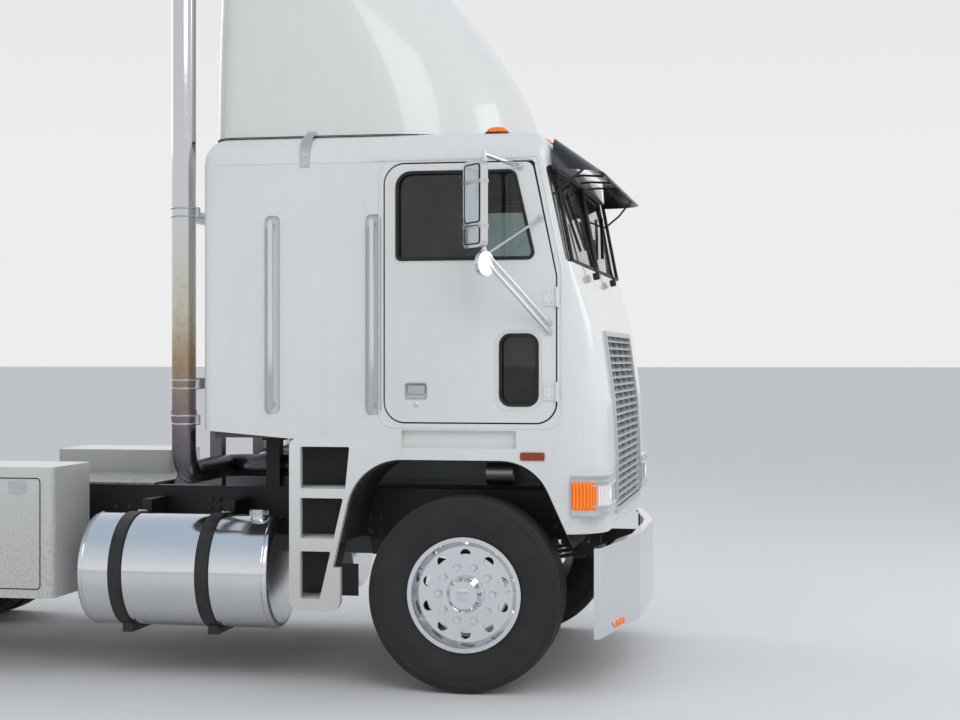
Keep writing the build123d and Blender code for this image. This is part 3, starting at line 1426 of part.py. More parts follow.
def build():
    os.makedirs("parts", exist_ok=True)
    front, sides, sleeper, glass = cab_parts()
    write("cab_front", front)
    write("cab_sides", sides)
    write("sleeper", sleeper)
    write("windscreen", glass)
    write("cab_roof", cab_roof())
    write("cab_floor", cab_floor())
    write("arch_liners", arch_liners())
    write("entry_steps", entry_steps())
    write("grille", grille())
    write("lamp_housings", lamp_housings())
    write("headlamps", [lens for side in SIDES.values() for lens in headlamp_lenses(side)])
    write("amber_lamps", [turn_lens(side) for side in SIDES.values()] + marker_lamps())
    write("sun_visor", sun_visor())
    write("roof_fairing", roof_fairing())
    write("grab_bars", grab_bars())
    write("dashboard", dashboard())
    write("seats", seats())
    write("bunk", bunk())
    for name, side in SIDES.items():
        write(f"door_{name}", door(side))
        write(f"door_glass_{name}", door_glass(side))
        write(f"mirror_{name}", mirror_set(side))
        rubber, metal = front_wheel(side)
        write(f"front_tyre_{name}", rubber)
        write(f"front_rim_{name}", metal)
        write(f"knuckle_{name}", knuckle(side))
        for number, x in enumerate(DRIVE_X, 1):
            rubber, metal = drive_wheel(x, side)
            write(f"drive{number}_tyres_{name}", rubber)
            write(f"drive{number}_rims_{name}", metal)
    write("frame", frame())
    write("front_axle", front_axle())
    write("tie_rod", tie_rod())
    write("drive_axles", drive_axles())
    write("walking_beams", walking_beams())
    write("engine", engine())
    write("radiator", radiator())
    write("front_bumper", front_bumper())
    write("chassis_lamps", bumper_lamps() + tail_lamps())
    write("fuel_tanks", [fuel_tank(s) for s in SIDES.values()])
    write("tank_straps", [p for s in SIDES.values() for p in tank_straps(s)])
    write("side_boxes", [side_box(s) for s in SIDES.values()])
    write("deck_plate", deck_plate())
    write("exhaust_stacks", [exhaust(s) for s in SIDES.values()])
    write("fifth_wheel", fifth_wheel())
    write("fifth_wheel_base", fifth_wheel_base())
    write("mudflaps", mudflaps())


build()
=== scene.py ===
# %% [markdown]
# A cabover truck tractor.
# The construction comes from outside this file: every node of the frame already has its real size and place.
# This lesson dresses it. It gives each surface a finish, and builds what a finish alone can't show, such as
# tread, seals, lamps, nuts and cushions. Everything is in metres: x points to the front, y to the left, z up.

# %% Load the frame
import math

import bmesh
import bpy
from mathutils import Matrix, Vector
from mathutils.bvhtree import BVHTree


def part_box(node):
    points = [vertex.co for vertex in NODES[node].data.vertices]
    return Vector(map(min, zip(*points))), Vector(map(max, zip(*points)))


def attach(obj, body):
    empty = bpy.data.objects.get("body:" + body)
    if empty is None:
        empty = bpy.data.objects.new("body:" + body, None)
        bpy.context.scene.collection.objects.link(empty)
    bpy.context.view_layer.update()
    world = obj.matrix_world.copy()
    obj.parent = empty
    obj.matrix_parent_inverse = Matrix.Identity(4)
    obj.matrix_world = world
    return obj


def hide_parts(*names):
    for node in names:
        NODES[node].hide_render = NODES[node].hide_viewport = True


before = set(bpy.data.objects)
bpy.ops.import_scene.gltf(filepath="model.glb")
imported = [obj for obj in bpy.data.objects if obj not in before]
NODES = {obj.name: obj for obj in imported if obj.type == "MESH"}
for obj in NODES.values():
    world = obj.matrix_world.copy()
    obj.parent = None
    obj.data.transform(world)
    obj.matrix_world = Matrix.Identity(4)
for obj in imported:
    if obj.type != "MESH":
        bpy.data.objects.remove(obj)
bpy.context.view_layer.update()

SIDES = {"right": -1, "left": 1}

# %% [markdown]
# The picture was taken from the roadside, about eight and a half metres from the near side of the cab and at
# the height of a person's eyes. A long lens would flatten the truck and a short one would swell its nose, so
# the lens is the one at which wheel, door and steps all measure right together.

# %% Camera
CAMERA_PLACE = (4.20, -9.72, 1.72)
CAMERA_TURN = math.radians(10.66)
CAMERA_LENS = 63.75

camera_data = bpy.data.cameras.new("camera")
camera_data.lens = CAMERA_LENS
camera_data.sensor_width = 36
camera_data.clip_end = 1000
camera = bpy.data.objects.new("camera", camera_data)
camera.location = CAMERA_PLACE
camera.rotation_euler = (math.pi / 2, 0, CAMERA_TURN)
bpy.context.scene.collection.objects.link(camera)
bpy.context.scene.camera = camera
print("camera lens", CAMERA_LENS)

# %% [markdown]
# A shader is a sum: some noise, times a mask, plus a base value. Node editors draw that sum as boxes and
# wires, and in a script it soon turns into hundreds of lines. A small class makes it read like a sum again. A
# Wire holds one socket, and Python's operators on it add the node that works the result out.

# %% Shader sums
class Wire:
    """A socket that Python's operators work on. Numbers use Math, vectors Vector Math and colours Mix."""

    def __init__(self, finish, socket):
        self.finish = finish
        self.socket = socket

    def joined(self, operation, other, flipped=False):
        first, second = (other, self) if flipped else (self, other)
        kinds = {w.socket.type for w in (first, second) if isinstance(w, Wire)}
        if "VECTOR" in kinds:
            first, second = (w if isinstance(w, Wire) else (w, w, w) for w in (first, second))
            return self.finish.add("ShaderNodeVectorMath", {"operation": operation}, {0: first, 1: second})
        if "RGBA" in kinds:
            first, second = (w if isinstance(w, Wire) else (w, w, w, 1) for w in (first, second))
            settings = {"data_type": "RGBA", "blend_type": operation}
            return self.finish.add("ShaderNodeMix", settings, {0: 1.0, 6: first, 7: second}, 2)
        return self.finish.add("ShaderNodeMath", {"operation": operation}, {0: first, 1: second})

    def __add__(self, other):
        return self.joined("ADD", other)

    def __radd__(self, other):
        return self.joined("ADD", other, True)

    def __sub__(self, other):
        return self.joined("SUBTRACT", other)

    def __rsub__(self, other):
        return self.joined("SUBTRACT", other, True)

    def __mul__(self, other):
        return self.joined("MULTIPLY", other)

    def __rmul__(self, other):
        return self.joined("MULTIPLY", other, True)

    def __truediv__(self, other):
        return self.joined("DIVIDE", other)

    def __pow__(self, other):
        return self.joined("POWER", other)


# %% [markdown]
# A Finish is one material while it is being made. All its nodes come from one method, add, which takes the
# node's type, its settings and what goes into its sockets. The other methods are the few patterns that nearly
# every real surface needs: a noise at a real scale, a soft step between two values, a mix of two colours and
# a bump. Object coordinates are metres from the truck's own origin, so a scale of 400 makes grains of 2.5 mm.

# %% The maker of finishes
class Finish:
    """A material under construction."""

    def __init__(self, name):
        self.material = bpy.data.materials.new(name)
        self.material.use_nodes = True
        self.tree = self.material.node_tree
        self.tree.nodes.clear()
        self.place = self.add("ShaderNodeTexCoord", out="Object")
        self.height = self.axis("Z")

    def add(self, kind, settings=None, sockets=None, out=0):
        node = self.tree.nodes.new(kind)
        for name, value in (settings or {}).items():
            if name == "stops":
                ramp = node.color_ramp
                while len(ramp.elements) < len(value):
                    ramp.elements.new(0.5)
                for element, (position, colour) in zip(ramp.elements, value):
                    element.position = position
                    element.color = (*colour, 1)
            else:
                setattr(node, name, value)
        for key, value in (sockets or {}).items():
            if isinstance(value, Wire):
                self.tree.links.new(value.socket, node.inputs[key])
            else:
                node.inputs[key].default_value = value
        return Wire(self, node.outputs[out])

    def axis(self, name, vector=None):
        """One coordinate of a vector, or of the place where there is none given."""
        return self.add("ShaderNodeSeparateXYZ", None, {0: vector or self.place}, name)

    def along(self, direction, vector=None):
        """How far the place, or a vector, lies along a direction."""
        sockets = {0: vector or self.place, 1: direction}
        return self.add("ShaderNodeVectorMath", {"operation": "DOT_PRODUCT"}, sockets, "Value")

    def wave(self, value, turns=1.0):
        """A sine wave between 0 and 1 that comes back once for each unit of value times turns."""
        angle = value * (2 * math.pi * turns)
        return self.add("ShaderNodeMath", {"operation": "SINE"}, {0: angle}) * 0.5 + 0.5

    def size(self, value):
        """A value without its sign."""
        return self.add("ShaderNodeMath", {"operation": "ABSOLUTE"}, {0: value})

    def noise(self, scale, detail=2.0, stretch=(1, 1, 1)):
        """Soft noise from 0 to 1. A stretch under 1 along an axis draws it out along that axis."""
        place = self.add("ShaderNodeVectorMath", {"operation": "MULTIPLY"}, {0: self.place, 1: stretch})
        return self.add("ShaderNodeTexNoise", None, {"Vector": place, "Scale": scale, "Detail": detail})

    def step(self, value, start, end):
        """0 at start and 1 at end, with a smooth rise between."""
        sockets = {"Value": value, "From Min": start, "From Max": end}
        return self.add("ShaderNodeMapRange", {"interpolation_type": "SMOOTHSTEP"}, sockets)

    def mix(self, first, second, mask):
        """The first colour where the mask is 0 and the second where it is 1."""
        first, second = (c if isinstance(c, Wire) else (*c, 1) for c in (first, second))
        return self.add("ShaderNodeMix", {"data_type": "RGBA"}, {0: mask, 6: first, 7: second}, 2)

    def bump(self, height, distance, strength=1.0):
        sockets = {"Height": height, "Distance": distance, "Strength": strength}
        return self.add("ShaderNodeBump", None, sockets)

    def upward(self):
        """1 on faces that look up, where dust settles."""
        return self.step(self.axis("Z", self.add("ShaderNodeNewGeometry", out="Normal")), 0.35, 0.95)

    def outward(self):
        """Distance from the truck's middle plane."""
        return self.size(self.axis("Y"))

    def indoors(self, middle, wall):
        """1 on faces that look towards the middle of a room whose walls stand at a distance of wall."""
        normal = self.add("ShaderNodeNewGeometry", out="Normal")
        away = self.place - self.add("ShaderNodeCombineXYZ", None, dict(zip("XYZ", middle)))
        facing = self.along(away, normal)
        return self.step(facing, 0.0, -0.1) * self.step(self.outward(), wall + 0.004, wall - 0.002)

    def shade(self, sockets):
        return self.add("ShaderNodeBsdfPrincipled", None, sockets)

    def done(self, shader):
        """Ends the material in a shader."""
        node = self.tree.nodes.new("ShaderNodeOutputMaterial")
        self.tree.links.new(shader.socket, node.inputs["Surface"])
        return self.material

    def shaded(self, sockets):
        """Ends the material in one plain shader with these sockets."""
        return self.done(self.shade(sockets))


# %% [markdown]
# The cab is painted white and has seen the road. Real paint isn't flat: it has a fine orange peel, it is a
# touch duller where rain has run, and it is greyer low down, where the wheels throw up dirt. Each of those is
# one noise, and the road film grows with a soft step on the height. The same shells have an inside, and there
# a matt lining takes the paint's place: the finish asks whether a face looks towards the middle of the cab.

# %% Painted panels
ROAD_FILM = (0.30, 0.275, 0.24)
FILM_TOP, FILM_LOW = 1.35, 0.55
LINING_FROM_Z = 1.29
CAB_MIDDLE = (2.05, 0.0, 2.10)
CAB_INNER = 1.124
LINING = (0.19, 0.18, 0.16)


def paint(name, clean, faded, rough=0.24, film_most=0.55, lined=True):
    f = Finish(name)
    above_floor = f.step(f.height, LINING_FROM_Z, LINING_FROM_Z + 0.01)
    inside = f.indoors(CAB_MIDDLE, CAB_INNER) * above_floor * (1.0 if lined else 0.0)
    quilt = f.noise(260, 2)
    drift = f.noise(0.8, 3)
    runs = f.step(f.noise(7, 4, (1, 1, 0.1)), 0.5, 0.72)
    spatter = f.step(f.noise(60, 5), 0.45, 0.7)
    low = f.step(f.height, FILM_TOP, FILM_LOW)
    film = low * (0.35 + spatter * 0.4) * film_most + runs * 0.06
    colour = f.mix(f.mix(clean, faded, f.step(drift, 0.35, 0.7)), ROAD_FILM, film)
    peel = f.noise(520, 1) * 0.4 + f.noise(2.2, 2) * 0.6
    lining = f.mix(LINING, tuple(0.8 * c for c in LINING), quilt)
    gloss = (rough + drift * 0.06 + film * 0.5) * (1 - inside) + inside * 0.8
    return f.shaded({
        "Base Color": f.mix(colour, lining, inside),
        "Roughness": gloss,
        "Coat Weight": (0.7 - film * 0.8) * (1 - inside),
        "Coat Roughness": 0.07,
        "Normal": f.bump(peel * (1 - inside) + quilt * inside * 1.5, 0.0006, 0.35),
    })


cab_paint = paint("cab_paint", (0.76, 0.775, 0.775), (0.72, 0.73, 0.72))
fairing_gelcoat = paint("fairing_gelcoat", (0.74, 0.75, 0.735), (0.70, 0.705, 0.68), rough=0.3, lined=False)
locker_paint = paint("locker_paint", (0.68, 0.69, 0.69), (0.62, 0.63, 0.62), film_most=0.8, lined=False)
print("paint finishes", 3)

# %% [markdown]
# Bright metal is the hardest finish to believe in, because it shows only what stands around it. Two things
# break up the mirror: a film of handling and rain spots that changes the roughness from place to place, and
# a dull layer of dust low down. Polished aluminium is softer than chrome and keeps fine scratches.

# %% Bright metals
METAL_DUST_TOP, METAL_DUST_LOW = 0.75, 0.12


def bright_metal(name, colour, rough, scratch, dust_most):
    f = Finish(name)
    smear = f.step(f.noise(3, 4), 0.35, 0.8)
    spots = f.step(f.noise(90, 2), 0.66, 0.76)
    lines = f.noise(160, 3, (0.06, 1, 1))
    low = f.step(f.height, METAL_DUST_TOP, METAL_DUST_LOW)
    dust = low * (f.step(f.noise(26, 5), 0.35, 0.8) * 0.6 + 0.25) * dust_most
    return f.shaded({
        "Base Color": f.mix(colour, (0.25, 0.235, 0.215), dust),
        "Metallic": 1 - dust * 0.6,
        "Roughness": rough + smear * 0.03 + spots * 0.05 + lines * scratch + dust * 0.25,
        "Normal": f.bump(lines, 0.0001, scratch),
    })


chrome = bright_metal("chrome", (0.70, 0.71, 0.73), 0.035, 0.01, 0.2)
polished_alloy = bright_metal("polished_alloy", (0.74, 0.75, 0.77), 0.07, 0.06, 0.25)
brushed_alloy = bright_metal("brushed_alloy", (0.60, 0.61, 0.62), 0.26, 0.25, 0.2)
print("bright metals", 3)

# %% [markdown]
# An exhaust stack is chromed, but its lower end runs hot. Heat turns chrome straw yellow, then brown and a
# little blue, in bands that follow the pipe. A ramp on the height paints them, and a noise stops the bands
# from being ruled lines.

# %% Heated chrome
STACK_COOL_Z = 2.6
STACK_HOT_Z = 1.1


def heated_chrome():
    f = Finish("heated_chrome")
    wander = f.noise(3, 4) * 0.5 - 0.25
    heat = f.step(f.height + wander, STACK_COOL_Z, STACK_HOT_Z)
    tint = f.add("ShaderNodeValToRGB", {"stops": [
        (0.0, (0.62, 0.63, 0.65)),
        (0.35, (0.60, 0.56, 0.46)),
        (0.62, (0.44, 0.33, 0.21)),
        (0.85, (0.24, 0.20, 0.22)),
        (1.0, (0.15, 0.145, 0.16)),
    ]}, {0: heat})
    soot = f.step(f.noise(30, 5), 0.45, 0.8)
    return f.shaded({
        "Base Color": f.mix(tint, (0.07, 0.06, 0.055), soot * heat * 0.5),
        "Metallic": 1 - soot * heat * 0.4,
        "Roughness": 0.09 + heat * 0.2 + soot * 0.08,
    })


stack_chrome = heated_chrome()
print("heated chrome made")

# %% [markdown]
# Chassis parts are black or bare iron and always dirty. Dust lies on every face that looks up, so these
# finishes ask for the direction of the face as well as for the height. The iron also rusts in patches.

# %% Chassis finishes
DUST = (0.20, 0.175, 0.14)
RUST = (0.13, 0.055, 0.025)


def chassis_paint(name, colour, rough, rust_share, dust_most=0.55):
    f = Finish(name)
    patches = f.step(f.noise(9, 6), 0.72 - rust_share, 0.86 - rust_share)
    grit = f.noise(240, 3)
    dust = (f.upward() * 0.6 + f.step(f.height, 0.9, 0.2) * 0.35) * f.step(f.noise(14, 5), 0.25, 0.7)
    return f.shaded({
        "Base Color": f.mix(f.mix(colour, RUST, patches * 0.8), DUST, dust * dust_most),
        "Roughness": rough + patches * 0.25 + dust * 0.3,
        "Metallic": patches * -0.3 + 0.3,
        "Normal": f.bump(grit + patches, 0.0008, 0.4),
    })


frame_black = chassis_paint("frame_black", (0.018, 0.018, 0.019), 0.36, 0.02)
cast_iron = chassis_paint("cast_iron", (0.055, 0.052, 0.05), 0.55, 0.16)
strap_metal = chassis_paint("strap_black", (0.022, 0.022, 0.022), 0.42, 0.0, 0.35)
engine_paint = chassis_paint("engine_paint", (0.15, 0.165, 0.175), 0.42, -0.05, 0.4)
hot_iron = chassis_paint("hot_iron", (0.10, 0.075, 0.06), 0.7, 0.30, 0.2)
print("chassis finishes", 5)

# %% [markdown]
# Greased steel, tread plate and rubber. The top of the fifth wheel is wiped bright along the tracks where
# trailers slide, and black grease fills the rest. Tread plate has raised bars in two crossing directions. Two
# stretched cell patterns make them, and they take turns like the squares of a chequered board.

# %% Grease, tread plate, rubber
BAR_PITCH = 0.028
FIN_PITCH = 0.009
STEP_WELL = 1.129


def greased_steel():
    f = Finish("greased_steel")
    grease = f.step(f.noise(7, 5, (0.5, 1, 1)), 0.38, 0.62)
    lines = f.noise(90, 3, (0.05, 1, 1))
    return f.shaded({
        "Base Color": f.mix((0.30, 0.29, 0.28), (0.018, 0.015, 0.012), grease),
        "Metallic": 1 - grease * 0.9,
        "Roughness": 0.32 + lines * 0.2 - grease * 0.1,
        "Normal": f.bump(grease * 0.6 + lines * 0.4, 0.0015, 0.6),
    })


def tread_plate(name):
    f = Finish(name)
    turned = f.add("ShaderNodeMapping", None, {"Vector": f.place, "Rotation": (0, 0, math.pi / 4)})
    cells = f.add("ShaderNodeTexChecker", None, {"Vector": turned, "Scale": 1 / BAR_PITCH}, "Fac")
    bars = []
    for stretch in ((1, 4, 1), (4, 1, 1)):
        place = f.add("ShaderNodeVectorMath", {"operation": "MULTIPLY"}, {0: turned, 1: stretch})
        sockets = {"Vector": place, "Scale": 0.5 / BAR_PITCH, "Randomness": 0.0}
        bars.append(f.step(f.add("ShaderNodeTexVoronoi", None, sockets), 0.42, 0.3))
    raised = bars[0] * cells + bars[1] * (1 - cells)
    wear = f.step(f.noise(12, 4), 0.4, 0.7)
    return f.shaded({
        "Base Color": f.mix((0.33, 0.33, 0.33), (0.12, 0.11, 0.10), wear * (1 - raised) * 0.7),
        "Metallic": 0.9 - wear * 0.3,
        "Roughness": 0.34 + wear * 0.25 - raised * 0.1,
        "Normal": f.bump(raised, 0.002, 0.8),
    })


def rubber(name, colour, rough=0.72, dust_most=0.4, fine=300):
    f = Finish(name)
    dusty = f.step(f.noise(11, 5), 0.4, 0.75) * dust_most
    grain = f.noise(fine, 3)
    return f.shaded({
        "Base Color": f.mix(colour, (0.115, 0.10, 0.085), dusty),
        "Roughness": rough + dusty * 0.2 + grain * 0.06,
        "Specular IOR Level": 0.35,
        "Normal": f.bump(grain, 0.0004, 0.4),
    })


def step_ladder(name, skin):
    """Painted outside, bare plate on the treads, and painted shade, near black, in the wells behind them."""
    f = Finish(name)
    well = f.step(f.outward(), STEP_WELL, STEP_WELL - 0.004)
    tread = f.upward() * well
    grit = f.noise(140, 4)
    scuffs = f.step(f.noise(18, 5, (1, 0.3, 1)), 0.45, 0.7)
    film = f.step(f.height, 1.35, 0.45) * (0.25 + grit * 0.3)
    # Inside the wells the paint gives way to near black: painted shade for the deep recess behind the treads.
    painted = f.mix(f.mix(skin, ROAD_FILM, film), (0.012, 0.012, 0.012), well)
    bare = f.mix((0.30, 0.30, 0.30), (0.13, 0.12, 0.11), scuffs)
    return f.shaded({
        "Base Color": f.mix(painted, bare, tread),
        "Roughness": (0.3 + film * 0.5) * (1 - well) + well * (0.55 + grit * 0.15) - tread * 0.1,
        "Metallic": tread * 0.7,
        "Normal": f.bump(grit + scuffs * tread, 0.0006, 0.4),
    })


def radiator_fins(low, high, rear):
    """Rows of thin pale fins between the heights low and high and ahead of x = rear. The rest is black."""
    f = Finish("radiator_fins")
    core = f.step(f.height, low - 0.001, low + 0.001) * f.step(f.height, high + 0.001, high - 0.001)
    core = core * f.step(f.axis("X"), rear - 0.001, rear + 0.001)
    rows = f.wave(f.height, 1 / FIN_PITCH)
    tubes = f.wave(f.outward(), 0.5 / FIN_PITCH)
    fins = f.step(rows, 0.35, 0.75) * f.step(tubes, 0.15, 0.4) * core
    dust = f.step(f.noise(8, 5), 0.4, 0.7)
    return f.shaded({
        "Base Color": f.mix((0.018, 0.018, 0.018), f.mix((0.20, 0.20, 0.20), DUST, dust), fins),
        "Metallic": fins * 0.6,
        "Roughness": 0.5 + dust * 0.2,
        "Normal": f.bump(fins, 0.002, 0.6),
    })


radiator_finish = radiator_fins(1.035, 1.640, 3.003)
greased = greased_steel()
step_finish = step_ladder("step_ladder", (0.74, 0.755, 0.755))
deck_tread = tread_plate("deck_tread")
flap_rubber = rubber("flap_rubber", (0.016, 0.016, 0.016))
seal_rubber = rubber("seal_rubber", (0.012, 0.012, 0.013), 0.5, 0.12)
liner_plastic = rubber("liner_plastic", (0.02, 0.02, 0.02), 0.62, 0.3, 120)
print("grease, plate and rubber made")

# %% [markdown]
# Tyre rubber needs to know where it is on the tyre: grooves hold pale dust, the running surface is scuffed
# grey, and the side wall is darker. The position in space can't tell that once the wheel turns, so the tyre
# mesh carries a number of its own at each point, called wear, and the finish reads it.

# %% Tyre rubber
def tyre_rubber():
    f = Finish("tyre_rubber")
    wear = f.add("ShaderNodeAttribute", {"attribute_name": "wear"}, None, "Fac")
    blotch = f.noise(10, 5)
    grain = f.noise(350, 3)
    side = f.mix((0.018, 0.018, 0.019), (0.027, 0.026, 0.025), f.step(blotch, 0.40, 0.75))
    tread = f.mix((0.046, 0.044, 0.042), (0.034, 0.033, 0.033), f.step(blotch, 0.35, 0.65))
    dusty = f.mix(side, (0.09, 0.083, 0.073), f.step(wear, 1.4, 2.0) * 0.6)
    return f.shaded({
        "Base Color": f.mix(dusty, tread, f.step(wear, 0.5, 0.95) * f.step(wear, 1.4, 1.1)),
        "Roughness": 0.62 + blotch * 0.2 + f.step(wear, 0.5, 1.0) * 0.08,
        "Specular IOR Level": 0.4,
        "Normal": f.bump(grain, 0.0005, 0.5),
    })


tyre_black = tyre_rubber()
print("tyre rubber made")

# %% [markdown]
# Window glass is tinted, with a slight green cast. What makes it look like a real cab's is the dust that the
# wipers and the rain leave, so a thin matt layer is mixed over the glass by a mask. Lenses are coloured
# plastic with moulded ribs. A lit lens shines from behind its ribs, so the ribs shade its glow too.

# %% Glass and lenses
def window_glass(name, tint):
    f = Finish(name)
    dust = f.step(f.noise(4, 5), 0.45, 0.8) * 0.1 + f.step(f.noise(200, 2), 0.66, 0.8) * 0.05
    glass = f.shade({
        "Base Color": (*tint, 1),
        "Roughness": 0.01,
        "IOR": 1.45,
        "Transmission Weight": 1.0,
    })
    grey = f.mix((0.30, 0.29, 0.26), (0.4, 0.39, 0.36), dust)
    film = f.add("ShaderNodeBsdfDiffuse", None, {"Color": grey})
    return f.done(f.add("ShaderNodeMixShader", None, {0: dust + 0.02, 1: glass, 2: film}))


def lens(name, colour, glow, strength, ribs=(55, 90, 0)):
    f = Finish(name)
    wave = f.wave(f.along(ribs))
    grime = f.step(f.noise(40, 4), 0.5, 0.8)
    return f.shaded({
        "Base Color": f.mix(colour, tuple(0.45 * c for c in colour), wave * 0.6 + grime * 0.3),
        "Roughness": 0.10 + grime * 0.12,
        "IOR": 1.49,
        "Transmission Weight": 0.3,
        "Emission Color": f.mix(glow, tuple(0.3 * c for c in glow), wave * 0.9),
        "Emission Strength": strength,
        "Normal": f.bump(wave, 0.002, 0.8),
    })


LAMP_MIDDLE = (0.833, 1.032)
LAMP_PITCH = 0.168
LIT_FROM = 0.915


def headlamp_glass(name):
    """A fluted glass over a bright reflector. The outer lamp of each side is lit."""
    f = Finish(name)
    flutes = f.wave(f.along((60, 85, 0)))
    lit = f.step(f.outward(), LIT_FROM - 0.004, LIT_FROM + 0.004)
    beside = f.size(f.outward() - LAMP_MIDDLE[0])
    beside = f.add("ShaderNodeMath", {"operation": "PINGPONG"}, {0: beside, 1: LAMP_PITCH / 2})
    rise = f.height - LAMP_MIDDLE[1]
    away = (beside * beside + rise * rise) ** 0.5
    bulb = f.step(away, 0.034, 0.010) * f.step(f.outward(), 1.10, 1.08)
    reflector = f.mix((0.30, 0.31, 0.33), (0.08, 0.085, 0.09), flutes)
    glow = f.mix((1.0, 0.97, 0.90), (0.52, 0.50, 0.45), flutes) * (bulb + 0.8)
    return f.shaded({
        "Base Color": f.mix(reflector, (0.75, 0.76, 0.78), bulb),
        "Metallic": 0.45,
        "Roughness": 0.10 + flutes * 0.08,
        "Coat Weight": 0.6,
        "Coat Roughness": 0.02,
        "Emission Color": f.mix((0.0, 0.0, 0.0), glow, lit),
        "Emission Strength": 0.95,
        "Normal": f.bump(flutes, 0.003, 0.9),
    })


cab_glass = window_glass("cab_glass", (0.40, 0.47, 0.46))
amber_lit = lens("amber_lit", (0.62, 0.12, 0.004), (1.0, 0.26, 0.01), 0.62)
amber_dull = lens("amber_dull", (0.50, 0.075, 0.02), (1.0, 0.3, 0.02), 0.0)
red_lens = lens("red_lens", (0.42, 0.008, 0.008), (0.9, 0.04, 0.02), 0.12, (0, 90, 90))
headlamp = headlamp_glass("headlamp_glass")
print("glass and lenses made")

# %% [markdown]
# Inside the cab there are three families: moulded trim with a leather grain, carpet on the floor and the
# engine tunnel, and woven seat cloth. The weave is three waves that cross, a few millimetres apart, and a
# little sheen on top gives cloth its soft edge.

# %% Interior finishes
def moulded_trim(name, colour, rough=0.55):
    f = Finish(name)
    cells = f.add("ShaderNodeTexVoronoi", None, {"Vector": f.place, "Scale": 320.0})
    dust = f.step(f.noise(6, 4), 0.45, 0.75)
    return f.shaded({
        "Base Color": f.mix(colour, tuple(min(1, c * 1.35 + 0.01) for c in colour), dust),
        "Roughness": rough + dust * 0.15,
        "Normal": f.bump(cells, 0.0006, 0.5),
    })


def cloth(name, colour, second, thread=0.0022):
    f = Finish(name)
    warp, weft, lie = (f.wave(f.along(way), 1 / thread) for way in ((1, 0.35, 0), (0.2, 0.1, 1), (0, 1, 0.4)))
    weave = warp * weft + lie * 0.5
    patches = f.step(f.noise(7, 4), 0.35, 0.7)
    return f.shaded({
        "Base Color": f.mix(f.mix(colour, second, patches), tuple(0.55 * c for c in colour), weave * 0.5),
        "Roughness": 0.85 + patches * 0.08,
        "Sheen Weight": 0.35,
        "Sheen Roughness": 0.4,
        "Normal": f.bump(weave, 0.0007, 0.5),
    })


dash_trim = moulded_trim("dash_trim", (0.085, 0.078, 0.072))
seat_cloth = cloth("seat_cloth", (0.12, 0.13, 0.16), (0.15, 0.16, 0.185))
bunk_cloth = cloth("bunk_cloth", (0.22, 0.2, 0.17), (0.26, 0.24, 0.2), 0.003)
floor_carpet = cloth("floor_carpet", (0.11, 0.10, 0.088), (0.14, 0.13, 0.115), 0.005)
visor_dark = moulded_trim("visor_smoke", (0.014, 0.014, 0.016), 0.12)
print("interior finishes made")

# %% [markdown]
# Every frame node gets one of these finishes. The frame's own material slots name the surface, and a short
# list of exceptions covers nodes that share a slot and still look different, such as the locker and the cab.

# %% Finishes on the frame
BY_SLOT = {
    "white_paint": cab_paint,
    "black_frame": frame_black,
    "chrome": chrome,
    "polished_alloy": polished_alloy,
    "tyre_rubber": tyre_black,
    "cast_iron": cast_iron,
    "glass": cab_glass,
    "clear_lens": headlamp,
    "amber_lens": amber_lit,
    "dark_visor": visor_dark,
    "interior": dash_trim,
    "seat_cloth": seat_cloth,
    "rubber_flap": liner_plastic,
    "tread_plate": deck_tread,
    "strap_metal": strap_metal,
}
BY_NODE = {
    "cab_floor": floor_carpet,
    "side_boxes": locker_paint,
    "exhaust_stacks": stack_chrome,
    "fifth_wheel": greased,
    "grille": brushed_alloy,
    "entry_steps": step_finish,
    "mudflaps": flap_rubber,
    "engine": engine_paint,
    "radiator": radiator_finish,
}
SMOOTH_ANGLE = math.radians(34)
SMOOTHED = ["cab_roof", "sun_visor", "windscreen", "front_bumper"]

for name, node in NODES.items():
    for slot in node.material_slots:
        surface = slot.material.name.split(".")[0]
        slot.material = BY_NODE.get(name, BY_SLOT[surface])
print("dressed", len(NODES), "nodes")

# %% [markdown]
# Some panels are ruled from section to section, which leaves faint flats. Shading across small angles hides
# the flats and keeps the true edges crisp. The frame's own meshes aren't touched for it. Three modifiers work
# on what is drawn and leave the form as it is: the first leaves out the normals and sharp edges that came
# with the mesh, the second joins doubled points so that shading runs on, and the third keeps the true edges.

# %% Smooth the ruled panels
WELD_REACH = 0.00005


def plain_shading():
    """A group of geometry nodes that leaves out the stored normals and sharp edges."""
    group = bpy.data.node_groups.new("plain_shading", "GeometryNodeTree")
    for way in ("INPUT", "OUTPUT"):
        group.interface.new_socket("Geometry", in_out=way, socket_type="NodeSocketGeometry")
    passed = group.nodes.new("NodeGroupInput").outputs[0]
    for name in ("custom_normal", "sharp_edge", "sharp_face"):
        left_out = group.nodes.new("GeometryNodeRemoveAttribute")
        left_out.inputs["Name"].default_value = name
        group.links.new(passed, left_out.inputs["Geometry"])
        passed = left_out.outputs["Geometry"]
    group.links.new(passed, group.nodes.new("NodeGroupOutput").inputs[0])
    return group


plain = plain_shading()
for name in SMOOTHED:
    stack = NODES[name].modifiers
    stack.new("plain", "NODES").node_group = plain
    stack.new("weld", "WELD").merge_threshold = WELD_REACH
    stack.new("edges", "EDGE_SPLIT").split_angle = SMOOTH_ANGLE
print("smoothed", SMOOTHED)

# %% [markdown]
# New pieces are meshes made from rows of points. A Shape collects them. Turning a profile, running a tube
# along a path and skinning outlines are all the same thing underneath, a grid of rows joined by faces, so
# one method does the joining.

# %% The maker of shapes
def turns(count):
    """Angles at equal steps round a circle."""
    return [2 * math.pi * k / count for k in range(count)]


